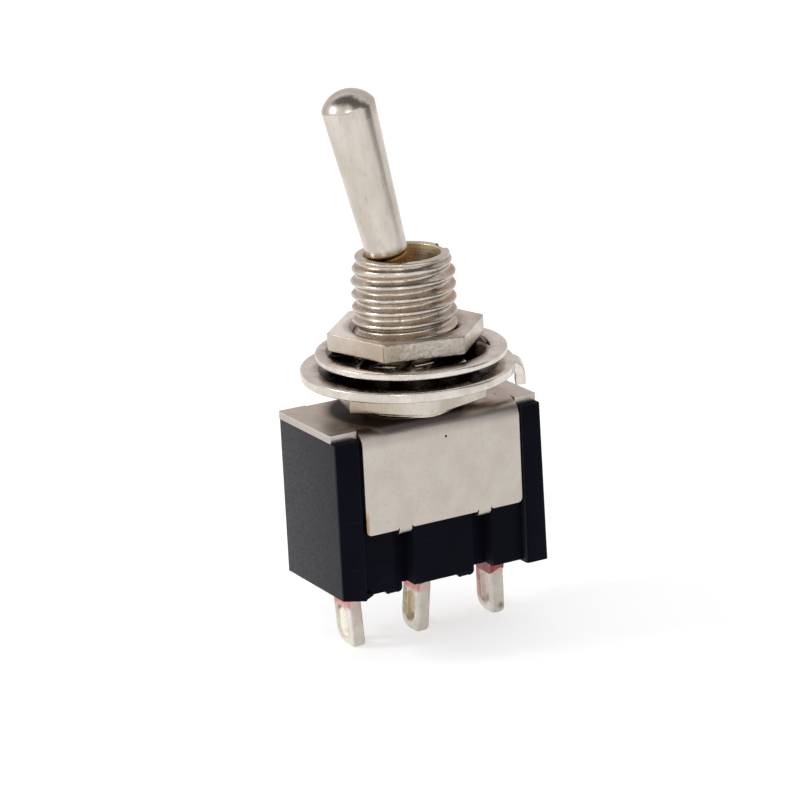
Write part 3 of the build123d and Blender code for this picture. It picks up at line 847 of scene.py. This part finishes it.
def make_nut(name, node, low, high, azimuth, finish, burr_azimuth=None):
    """Pressed hexagon nut: countersunk thread, rolled top edges and, on one side, a sheared burr."""
    apothem = ACROSS_FLATS / 2
    corner, edge, sink = 0.2, 0.09, 0.28
    hole = thread_radius + 0.02
    outline = hexagon(apothem, corner, azimuth, low)
    bore = ((hole + sink, low), (hole, low + sink), (hole, high - sink), (hole + sink * 0.9, high - 0.04),
            (hole + sink + 0.08, high), ((hole + apothem) / 2, high))
    rows = [facing_ring(outline, radius, z) for radius, z in bore]
    for inset, drop in [(edge - x, edge - y) for x, y in arc(0, 0, edge, 90, 0, 3)]:
        rows.append(hexagon(apothem - inset, corner, azimuth, high - drop))
    side_steps = 7
    step = (high - low - 2 * edge) / side_steps
    rows += [hexagon(apothem, corner, azimuth, high - edge - step * k) for k in range(1, side_steps)]
    for inset, rise in [(edge - x, edge - y) for x, y in arc(0, 0, edge, 0, 90, 3)]:
        rows.append(hexagon(apothem - inset, corner, azimuth, low + rise))
    bm = skin(rows, closed=True)
    if burr_azimuth is not None:
        facing = compass(burr_azimuth)
        for vert in bm.verts:
            reach = vert.co.dot(facing)
            if reach > apothem - edge - 0.01:
                lump = noise.noise(vert.co * 3.1) + 0.6 * noise.noise(vert.co * 7.3)
                vert.co -= facing * max(0.0, 0.035 * lump + 0.012)
                if vert.co.z > high - edge:
                    vert.co.z += 0.03 * noise.noise(vert.co * 4.0) - 0.02
    return piece(name, bm, [finish], [node])


def strip(path, width, thickness, edge):
    """Flat bar across Y, swept along (point, normal) pairs, its section rounded at the corners."""
    section = rounded_section(width / 2, thickness / 2, edge)
    rows = []
    for point, normal in path:
        rows.append([Vector(point) + Vector((0, u, 0)) + Vector(normal) * v for u, v in section])
    return skin(rows)


def make_keyed_washer():
    """Locating washer with its key and its folded tab."""
    low = bottom_high.z
    high = low + KEYED_THICKNESS
    edge, bore_edge, gap, sunk = 0.13, 0.05, 0.06, 0.004
    profile = [(WASHER_BORE, low + bore_edge), (WASHER_BORE + bore_edge, low)]
    profile += arc(KEYED_RADIUS - edge, low + edge, edge, -90, 0, 4)
    profile += arc(KEYED_RADIUS - edge, high - edge, edge, 0, 90, 4)
    profile += [(WASHER_BORE + bore_edge, high), (WASHER_BORE, high - bore_edge)]
    bm = turned(profile, 144, closed=True)
    key_low = (KEYWAY_FLOOR + gap, -KEYWAY_HALF + gap, low + 0.02)
    key = block(key_low, (WASHER_BORE + 0.2, KEYWAY_HALF - gap, high - 0.02))
    bm = combined(bm, moved(key, spin(KEYWAY_AZIMUTH)), "UNION")
    radius = WASHER_FOLD - KEYED_THICKNESS / 2
    centre_x = KEYED_RADIUS + WASHER_REACH - WASHER_FOLD
    centre_z = high - WASHER_FOLD - sunk
    path = [((KEYED_RADIUS - 1.0, 0, high - KEYED_THICKNESS / 2 - sunk), (0, 0, 1))]
    for u, v in arc(0, 0, 1, 90, 0, 8):
        path.append(((centre_x + radius * u, 0, centre_z + radius * v), (u, 0, v)))
    path.append(((centre_x + radius, 0, high - WASHER_DROP + 0.06), (1, 0, 0)))
    tab = strip(path, WASHER_TAB, KEYED_THICKNESS, 0.09)
    bm = combined(bm, moved(tab, spin(TAB_AZIMUTH)), "UNION")
    finish = washer_finish("washer_nickel", KEYED_SHADE_RADIUS, WASHER_SHADOW)
    return piece("locating_washer", bm, [finish], ["keyed_washer"])


def make_lock_washer():
    """Internal-tooth lock washer: a flat ring and teeth that twist out of its plane."""
    middle = (lock_low.z + lock_high.z) / 2
    half = LOCK_THICKNESS / 2
    inner = LOCK_RADIUS - LOCK_WIDTH
    section = rounded_section(LOCK_WIDTH / 2, half, 0.1)
    profile = [(inner + LOCK_WIDTH / 2 + u, middle + v) for u, v in section]
    bm = moved(turned(profile, 144, closed=True), Matrix.Translation(LOCK_SHIFT))
    start, end = thread_radius + 0.07, inner + LOCK_WIDTH * 0.4
    steps = 10
    for n in range(TEETH):
        rows = []
        for k in range(steps + 1):
            share = k / steps
            x = end + (start - end) * share
            twist = math.radians(TOOTH_TWIST) * smooth(share, 0.0, 0.45)
            out = Vector((math.cos(twist), math.sin(twist)))
            section = rounded_section(TOOTH_WIDTH * (1.0 - 0.06 * share) / 2, half - 0.005, 0.07)
            rows.append([(x, u * out.x - v * out.y, middle + u * out.y + v * out.x) for u, v in section])
        tooth = moved(skin(rows), spin(TOOTH_AZIMUTH + n * 360 / TEETH))
        bm = combined(bm, tooth, "UNION")
    finish = washer_finish("lock_nickel", LOCK_SHADE_RADIUS, light=(222, 215, 207), shade=(204, 196, 187))
    return piece("tooth_lock_washer", bm, [finish], ["lock_washer"])


def rounded(corners, steps=6):
    """Closed outline from (x, y, radius) corners."""
    points = []
    count = len(corners)
    for k, (x, y, radius) in enumerate(corners):
        here = Vector((x, y))
        if not radius:
            points.append((x, y))
            continue
        before = (Vector(corners[k - 1][:2]) - here).normalized()
        after = (Vector(corners[(k + 1) % count][:2]) - here).normalized()
        start, end = here + before * radius, here + after * radius
        for n in range(steps + 1):
            share = n / steps
            points.append(tuple(start.lerp(here, share).lerp(here.lerp(end, share), share)))
    return points


class Fold:
    """Lengths along the flat sheet to each feature of a flap, from the radius of its bend."""

    def __init__(self, side, radius):
        self.side = side
        self.radius = radius
        self.start = half_width - radius
        self.arc = radius * math.pi / 2
        self.end = self.start + self.arc + FLAP_DROP - radius
        self.tab = self.end - TAB_RISE
        self.tab_arc = TAB_BEND * math.pi / 2

    def place(self, x, s, w):
        """Place of a point of the flat sheet: x along the plate, s out across it, w up from its top face."""
        side = self.side
        if s <= self.start or not flap_left - 0.01 < x < flap_right + 0.01:
            return Vector((x, side * s, w))
        if s <= self.start + self.arc:
            a = (s - self.start) / self.radius
            reach = max(self.radius + w, 0.0)
            y = min(self.start + reach * math.sin(a), half_width + w)
            z = max(-self.radius, w) if reach == 0 else -self.radius + reach * math.cos(a)
            return Vector((x, side * y, z))
        on_tab = any(abs(x - recess_x - t) <= TAB_WIDTH / 2 + 0.01 for t in (-GROOVE_X, GROOVE_X))
        if s <= self.tab or not on_tab:
            return Vector((x, side * (half_width + w), self.start + self.arc - self.radius - s))
        centre = half_width - TAB_BEND
        top = -FLAP_DROP + TAB_RISE
        if s <= self.tab + self.tab_arc:
            a = (s - self.tab) / TAB_BEND
            reach = TAB_BEND + w
            return Vector((x, side * (centre + reach * math.cos(a)), top - reach * math.sin(a)))
        return Vector((x, side * (centre - (s - self.tab - self.tab_arc)), top - TAB_BEND - w))


def flap_edge(fold, gap, plate_edge):
    """Corners (x, s, radius) of one side of the blank, from the left end of the plate to the right."""
    inner = fold.start - 0.02
    notch = fold.tab - 0.01
    tab_end = fold.tab + fold.tab_arc + TAB_REACH
    edge = [(-half_length, plate_edge, 0.1), (flap_left - gap, plate_edge, 0.05), (flap_left - gap, inner, 0)]
    edge += [(flap_left, inner, 0), (flap_left, fold.end, FLAP_CORNER)]
    for t in (-GROOVE_X, GROOVE_X):
        left, right = recess_x + t - TAB_WIDTH / 2, recess_x + t + TAB_WIDTH / 2
        edge += [(left - 0.09, fold.end, 0.06), (left - 0.04, notch, 0.015), (left, notch, 0.015)]
        edge += [(left, tab_end, 0.1), (right, tab_end, 0.1), (right, notch, 0.015)]
        edge += [(right + 0.04, notch, 0.015), (right + 0.12, fold.end, 0.06)]
    edge += [(flap_right, fold.end, FLAP_CORNER), (flap_right, inner, 0), (flap_right + gap, inner, 0)]
    return edge + [(flap_right + gap, plate_edge, 0.05), (half_length, plate_edge, 0.1)]


def make_frame():
    """Steel frame: a flat blank with rounded edges, slits and tabs, folded round the case."""
    front, rear = Fold(-1, BEND), Fold(1, BACK_BEND)
    edges = [(x, -s, r) for x, s, r in flap_edge(front, 0.05, PLATE_FRONT)]
    edges += list(reversed(flap_edge(rear, 0.02, frame_high.y)))
    bm = bmesh.new()
    top = bm.faces.new([bm.verts.new((x, v, 0)) for x, v in rounded(edges)])
    grown = bmesh.ops.extrude_face_region(bm, geom=[top])
    for element in grown["geom"]:
        if isinstance(element, bmesh.types.BMVert):
            element.co.z = -SHEET
    bmesh.ops.recalc_face_normals(bm, faces=bm.faces)
    bevel(bm, [e for e in bm.edges if is_level(e)], 0.12, 4, clamp_overlap=True)
    for fold in (front, rear):
        cuts = [fold.start + fold.arc * k / 10 for k in range(11)]
        cuts += [fold.tab + fold.tab_arc * k / 6 for k in range(7)]
        cuts += [fold.start + fold.arc + 1.2 * k for k in range(1, 4)]
        for cut in cuts:
            everything = bm.verts[:] + bm.edges[:] + bm.faces[:]
            place = (0, fold.side * cut, 0)
            bmesh.ops.bisect_plane(bm, geom=everything, plane_co=place, plane_no=(0, 1, 0))
    bmesh.ops.triangulate(bm, faces=[f for f in bm.faces if len(f.verts) > 4])
    for vert in bm.verts:
        x, v, w = vert.co
        vert.co = (rear if v > 0 else front).place(x, abs(v), w)
    bmesh.ops.remove_doubles(bm, verts=bm.verts, dist=1e-5)
    bmesh.ops.dissolve_degenerate(bm, edges=bm.edges, dist=1e-5)
    bm = combined(bm, rod(SPIGOT, 1, 72))
    return piece("steel_frame", bm, [frame_finish()], ["frame"])


def make_case():
    """Moulded case: end ribs proud of the flap recesses, grooves, barriers, contact chamber and lug slots."""
    foot_z = base_z - FOOT
    core_x = half_length - 0.3
    fine_edge, upright_edge, end_edge, top_edge = 0.06, 0.18, 0.4, 0.45
    body = block((-core_x, -face_y, base_z), (core_x, face_y, case_top), fine_edge, 0.0)
    tops = [e for e in body.edges if min(v.co.z for v in e.verts) > case_top - 1e-4]
    bevel(body, [e for e in tops if abs(e.verts[0].co.x - e.verts[1].co.x) > 1], top_edge, 6)
    for x0, x1 in ((-half_length, -half_length + LEFT_RIB), (half_length - RIGHT_RIB, half_length)):
        slab = block((x0, -half_width, foot_z), (x1, half_width, case_top), 0.0, upright_edge, 4)
        outer = math.copysign(half_length, x0 + x1)
        foot = [e for e in slab.edges if max(v.co.z for v in e.verts) < foot_z + 1e-4]
        bevel(slab, [e for e in foot if max(abs(v.co.x - outer) for v in e.verts) < 1e-4], end_edge, 8)
        rims = [e for e in slab.edges if is_level(e) and e.calc_face_angle(0) > 1]
        bevel(slab, rims, fine_edge, 3, clamp_overlap=True)
        body = combined(body, slab, "UNION")
    ramp_x = LEFT_RIB - half_length
    low = (ramp_x - 0.2, -half_width + 0.02, foot_z + 0.01)
    ramp = block(low, (ramp_x + RAMP, half_width - 0.02, base_z + 0.3))
    for vert in ramp.verts:
        if vert.co.x > ramp_x and vert.co.z < base_z:
            vert.co.z = base_z + RAMP_RISE
    body = combined(body, ramp, "UNION")
    for side in (-1, 1):
        x = side * lug_pitch / 2
        low = (x - BARRIER.x / 2, -BARRIER.y / 2, base_z - BARRIER.z)
        nub = block(low, (x + BARRIER.x / 2, BARRIER.y / 2, base_z + 1), BARRIER_EDGE, 0.15, 6)
        body = combined(body, nub, "UNION")
    groove_top = -FLAP_DROP + GROOVE_HEAD
    for side in (-1, 1):
        x = recess_x + side * GROOVE_X
        for front in (-1, 1):
            near, far = sorted((front * (face_y - GROOVE_DEPTH), front * (face_y + 1)))
            low = (x - GROOVE_WIDTH / 2, near, base_z - 3)
            body = combined(body, block(low, (x + GROOVE_WIDTH / 2, far, groove_top), 0.0, 0.0))
    inner_x, inner_y = half_length - END_WALL, face_y - SIDE_WALL
    chamber = block((-inner_x, -inner_y, base_z + FLOOR), (inner_x, inner_y, case_top + 1), 0.0, 0.3)
    body = combined(body, chamber)
    gap = 0.05
    low = (card_low.x - gap, card_low.y - gap, card_low.z - 0.01)
    body = combined(body, block(low, (card_high.x + gap, card_high.y + gap, case_top + 1)))
    gap = 0.01
    for x in (-lug_pitch, 0, lug_pitch):
        low = (x + lug_low.x - gap, lug_low.y - gap, base_z - 3)
        body = combined(body, block(low, (x + lug_high.x + gap, lug_high.y + gap, base_z + FLOOR + 1)))
    rib_x = half_length - RIGHT_RIB
    for vert in body.verts:
        if vert.co.z < foot_z + 0.5:
            vert.co.z += FOOT_RISE * max(0.0, (ramp_x - vert.co.x) / LEFT_RIB)
        share = (case_top - vert.co.z) / (case_top - foot_z)
        vert.co.x += DRAFT * share * smooth(vert.co.x, rib_x, rib_x + 0.4)
    return piece("moulded_case", body, [case_finish()], ["case"])


def lug_outline(low_y, high_y, tip, top, inset):
    """Side view of a lug as (y, z) points, inset from its edges."""
    corners = [
        (high_y - inset, tip + inset, LUG_BACK - inset),
        (high_y - inset, top - inset, 0.05),
        (low_y + inset, top - inset, 0.05),
        (low_y + inset, tip + inset, LUG_FRONT - inset),
    ]
    steps = 10
    return divided(rounded(corners, steps), LUG_SIDE_STEPS, steps)


def shrunk(outline, inner, share):
    """Outline moved a share of the way to its inset copy."""
    return [tuple(Vector(a).lerp(Vector(b), share)) for a, b in zip(outline, inner)]


def settle(bm, x, bend):
    """Moves a lug or its epoxy to its place along the case, and bends it sideways below the base."""
    for vert in bm.verts:
        vert.co.x += x + bend * max(0.0, base_z - vert.co.z) / (base_z - lug_low.z)


def make_lug(name, node, x, bend, cradle, look):
    """Solder lug: rolled edges, a slot near its tip, and the slight bend it has picked up."""
    low, high = box(node)
    tip, top = low.z, high.z
    half = (high.x - low.x) / 2
    middle_z = tip + EYE_MARGIN + EYE_LENGTH / 2
    outline = lug_outline(low.y, high.y, tip, top, 0.0)
    inner = lug_outline(low.y, high.y, tip, top, LUG_EDGE)

    def slot_point(point, grow):
        """Point of the slot's edge in the direction of an outline point."""
        dy, dz = point[0], point[1] - middle_z
        reach = (EYE_LENGTH - EYE_WIDTH) / 2
        radius = EYE_WIDTH / 2 + grow
        scale = radius / max(abs(dy), 1e-9)
        if abs(dz) * scale > reach:
            length = math.hypot(dy, dz)
            uy, uz = dy / length, dz / length
            centre = math.copysign(reach, dz)
            along = centre * uz + math.sqrt(max(0.0, radius**2 - centre**2 + (centre * uz) ** 2))
            return (along * uy, middle_z + along * uz)
        return (dy * scale, middle_z + dz * scale)

    slot_edge = ((0.0, 0.09), (0.03, 0.03), (0.09, 0.0))
    rows = [[(half - sunk, *slot_point(p, grow)) for p in outline] for grow, sunk in slot_edge]
    for side, start in ((1, 90), (-1, 0)):
        for a, b in arc(0, 0, LUG_EDGE, start, start - 90, 4):
            depth = side * (half - LUG_EDGE) + b
            rows.append([(depth, *q) for q in shrunk(outline, inner, 1 - a / LUG_EDGE)])
    rows += [[(sunk - half, *slot_point(p, grow)) for p in outline] for grow, sunk in reversed(slot_edge)]
    bm = skin(rows, closed=True)
    settle(bm, x, bend)
    if cradle:
        place = Matrix.Translation((0, 0, top + 0.05)) @ spin(90, "X")
        bm = combined(bm, moved(rod(CRADLE_RADIUS, 3, 32), place))
    return piece(name, bm, [lug_finish(name + "_tin", x, look)], [node], crease=40)


def make_seal(name, node, x, bend, finish, reach):
    """Epoxy: a fillet round the lug at the base and a ragged film that has run down it."""
    low, high = box(node)
    half_x, half_y = (lug_high.x - lug_low.x) / 2, lug_high.y

    spread_x, spread_y = (high.x - low.x) / 2 - half_x, high.y - half_y
    fillet = ((1.0, 0.0), (0.9, 0.1), (0.62, 0.2), (0.36, 0.27), (0.2, 0.32))
    fillet_z = base_z - 0.34

    def around(grow_x, grow_y, height):
        """Ring round the lug at a distance from it, at a height that depends on the place."""
        section = rounded_section(half_x + grow_x, half_y + grow_y, 0.08 + min(grow_x, grow_y), 4)
        return [(px, py, height(px, py)) for px, py in divided(section, SEAL_SIDE_STEPS, 4)]

    def ragged(px, py):
        """Height of the film's lower edge."""
        lump = noise.noise(Vector((px * 0.9 + x * 3.7, py * 0.9, x)))
        return base_z - max(0.35, min(WICK - 0.02, reach * (1 + 0.9 * lump)))

    def between(share):
        """Heights a share of the way from the fillet's end to the film's edge."""
        return lambda px, py: fillet_z + (ragged(px, py) - fillet_z) * share

    rows = []
    for share, drop in fillet:
        rows.append(around(spread_x * share, spread_y * share, lambda px, py, z=base_z - drop: z))
    rows += [around(0.055 - 0.008 * k, 0.055 - 0.008 * k, between(k / 5)) for k in range(1, 6)]
    sunk = -0.02
    rows.append(around(sunk, sunk, ragged))
    rows.append(around(sunk, sunk, lambda px, py: base_z))
    bm = skin(rows, closed=True)
    settle(bm, x, bend)
    return piece(name, bm, [finish], [node], crease=60)


def dress(node, finish):
    """Gives a CAD node that is shown as it is a procedural finish."""
    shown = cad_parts[node]
    shown.data.materials.clear()
    shown.data.materials.append(finish)


# ---------------------------------------------------------------- studio, in metres
def outward(azimuth, elevation):
    """Direction away from the switch. Azimuth 0 is in front and 90 on the right."""
    a, e = math.radians(azimuth), math.radians(elevation)
    return Vector((math.sin(a) * math.cos(e), -math.cos(a) * math.cos(e), math.sin(e)))


def placed(name, data, place, back):
    """New object at a place, its +Z axis along a direction."""
    made = show(name, data)
    made.location = place
    made.rotation_mode = "QUATERNION"
    made.rotation_quaternion = Vector(back).to_track_quat("Z", "Y")
    return made


def plane(name, centre, size, facing):
    """Rectangle that faces a direction."""
    mesh = bpy.data.meshes.new(name)
    x, y = size[0] / 2, size[1] / 2
    mesh.from_pydata([(-x, -y, 0), (x, -y, 0), (x, y, 0), (-x, y, 0)], [], [(0, 1, 2, 3)])
    return placed(name, mesh, centre, facing)


def seen_white(tree):
    """1 for the rays that see the background as white: camera, glossy and transmission rays."""
    path = tree.nodes.new("ShaderNodeLightPath").outputs
    total = path["Is Camera Ray"]
    for name in ("Is Glossy Ray", "Is Transmission Ray"):
        total = add_node(tree, "Math", {0: total, 1: path[name]}, operation="MAXIMUM").outputs[0]
    return total


def make_world(ambient):
    """White to the eye and in reflections, and a plain soft level of light otherwise."""
    world = bpy.data.worlds.new("studio")
    scene.world = world
    world.use_nodes = True
    tree = world.node_tree
    level = add_node(tree, "MapRange", {"Value": seen_white(tree), "To Min": ambient, "To Max": 1.0})
    background = tree.nodes["Background"]
    background.inputs["Color"].default_value = (1, 1, 1, 1)
    tree.links.new(level.outputs["Result"], background.inputs["Strength"])


def make_floor(lift, gap=0.00002):
    """Pale floor that reads as white where it is lit and keeps the switch's shadow."""
    floor = plane("studio_floor", (0, 0, lug_low.z * MM - gap), (1.6, 1.6), (0, 0, 1))
    finish = bpy.data.materials.new("floor_paper")
    finish.use_nodes = True
    tree = finish.node_tree
    tree.nodes.clear()
    grain = add_node(tree, "TexNoise", {"Scale": 900.0})
    tone = add_node(tree, "MapRange", {"Value": grain.outputs["Fac"], "To Min": 0.78, "To Max": 0.82})
    paper = add_node(tree, "BsdfDiffuse", {"Color": tone.outputs["Result"]})
    strength = add_node(tree, "Math", {0: seen_white(tree), 1: lift}, operation="MULTIPLY")
    glow = add_node(tree, "Emission", {"Strength": strength.outputs[0]})
    both = add_node(tree, "AddShader", {0: paper.outputs[0], 1: glow.outputs[0]})
    add_node(tree, "OutputMaterial", {"Surface": both.outputs[0]})
    floor.data.materials.append(finish)


def make_card(name, azimuth, elevation, distance, size, glow):
    """Studio card seen in reflections only: black, or grey by its glow."""
    away = outward(azimuth, elevation)
    card = plane(name, away * distance, size, -away)
    felt = Finish(name + "_felt", Base_Color=(0.012, 0.011, 0.012, 1), Emission_Color=(1.0, 0.93, 0.92, 1),
                  Emission_Strength=glow, Roughness=1.0, Specular_IOR_Level=0.0)
    card.data.materials.append(felt.made)
    for rays in ("camera", "diffuse", "shadow", "transmission"):
        setattr(card, "visible_" + rays, False)


def make_lamp(name, azimuth, elevation, distance, size, power):
    """Soft lamp aimed at the switch."""
    light = bpy.data.lights.new(name, "AREA")
    light.shape = "RECTANGLE"
    light.size, light.size_y = size
    light.energy = power
    away = outward(azimuth, elevation)
    placed(name, light, away * distance, away)


CAMERA_AZIMUTH = -28.557
CAMERA_ELEVATION = 16.86
CAMERA_ROLL = math.radians(-2.926)
CAMERA_DISTANCE = 203.08
CAMERA_LENS = 162.53
AIM_LEFT = 0.525
AIM_UP = 0.156


def make_camera():
    """The photograph's camera, from the azimuth, elevation, roll, distance and aim that fit its edges."""
    back = outward(CAMERA_AZIMUTH, CAMERA_ELEVATION)
    level = outward(CAMERA_AZIMUTH + 90, 0)
    rise = back.cross(level)
    right = level * math.cos(CAMERA_ROLL) + rise * math.sin(CAMERA_ROLL)
    up = rise * math.cos(CAMERA_ROLL) - level * math.sin(CAMERA_ROLL)
    lens = bpy.data.cameras.new("photo_camera")
    lens.lens = CAMERA_LENS
    lens.sensor_width = 36.0
    lens.clip_start, lens.clip_end = 0.01, 10.0
    camera = show("photo_camera", lens)
    place = Matrix((right, up, back)).transposed().to_4x4()
    place.translation = (back * CAMERA_DISTANCE - right * AIM_LEFT + up * AIM_UP) * MM
    camera.matrix_world = place
    scene.camera = camera


# ---------------------------------------------------------------- the switch
make_case()
make_frame()
make_bushing()
make_lever()
lower_finish = nut_finish("lower_nut_nickel")
make_nut("lower_nut", "bottom_nut", bottom_low.z, bottom_high.z, BOTTOM_AZIMUTH, lower_finish)
sheared_side = TOP_AZIMUTH - 150
upper_finish = nut_finish("upper_nut_nickel", sheared_side)
upper_top = top_high.z + TOP_NUT_RISE
make_nut("upper_nut", "top_nut", top_low.z, upper_top, TOP_AZIMUTH, upper_finish, sheared_side)
make_keyed_washer()
make_lock_washer()

# Each look: how far the pink reaches down, the colours in the slot (a painted highlight) and beside it, the
# slot's painted glow, and its dark spot.
lug_face = lug_low.x
left_look = {"pink": 1.6, "slot": (250, 247, 240), "beside": (206, 198, 180), "glow": 0.26,
             "spot": (lug_face + 0.05, 0.3, 2.15)}
common_look = {"pink": 1.5, "slot": (228, 212, 186), "beside": (176, 158, 132), "glow": 0.08,
               "spot": (lug_face, 0.0, 1.05)}
right_look = {"pink": 1.45, "slot": (228, 216, 212), "beside": (190, 112, 104), "glow": 0.12,
              "spot": (0.1, -0.9, 0.5)}
epoxy = epoxy_finish()
for side, x, bend, cradle, run, look in (
    ("left", -lug_pitch, 0.24, False, 0.45, left_look),
    ("common", 0.0, -0.36, True, 0.75, common_look),
    ("right", lug_pitch, 0.0, False, 1.2, right_look),
):
    make_lug(side + "_solder_lug", "terminal_" + side, x, bend, cradle, look)
    make_seal(side + "_epoxy", "seal_" + side, x, bend, epoxy, run)

silver = inner_finish("contact_silver", (232, 230, 226), (196, 192, 186), 0.25, 1.0)
copper = inner_finish("contact_copper", (214, 148, 108), (176, 112, 80), 0.3, 1.0)
steel = inner_finish("spring_steel", (190, 190, 192), (150, 150, 154), 0.28, 1.0)
nylon = inner_finish("plunger_nylon", (236, 232, 222), (220, 214, 200), 0.45, 0.0)
fibre = inner_finish("fish_paper", (74, 80, 84), (56, 60, 66), 0.7, 0.0)
for node, finish in (
    ("contact_left", silver), ("contact_right", silver), ("rocker", copper), ("pivot_pin", steel),
    ("plunger", nylon), ("insulator_card", fibre),
):
    dress(node, finish)
make_spring(steel)

make_world(0.62)
make_floor(0.5)
make_lamp("key_lamp", -116, 33, 0.34, (0.09, 0.09), 0.3)
make_lamp("front_lamp", -41, 38, 0.36, (0.03, 0.03), 0.08)
for name, azimuth, elevation, distance, size, glow in (
    ("right_card", 56, 2, 0.13, (0.075, 0.16), 0.22),
    ("right_top_card", 46, 42, 0.13, (0.07, 0.09), 0.12),
    ("ceiling_card", 10, 70, 0.13, (0.085, 0.085), 0.12),
    ("back_top_card", -110, 80, 0.13, (0.085, 0.085), 0.12),
    ("left_top_card", -128, 58, 0.13, (0.075, 0.085), 0.12),
    ("back_right_card", 132, 26, 0.19, (0.38, 0.2), 0.76),
    ("back_left_card", -148, 18, 0.21, (0.2, 0.16), 0.8),
):
    make_card(name, azimuth, elevation, distance, size, glow)
make_camera()
scene.view_settings.view_transform = "Standard"
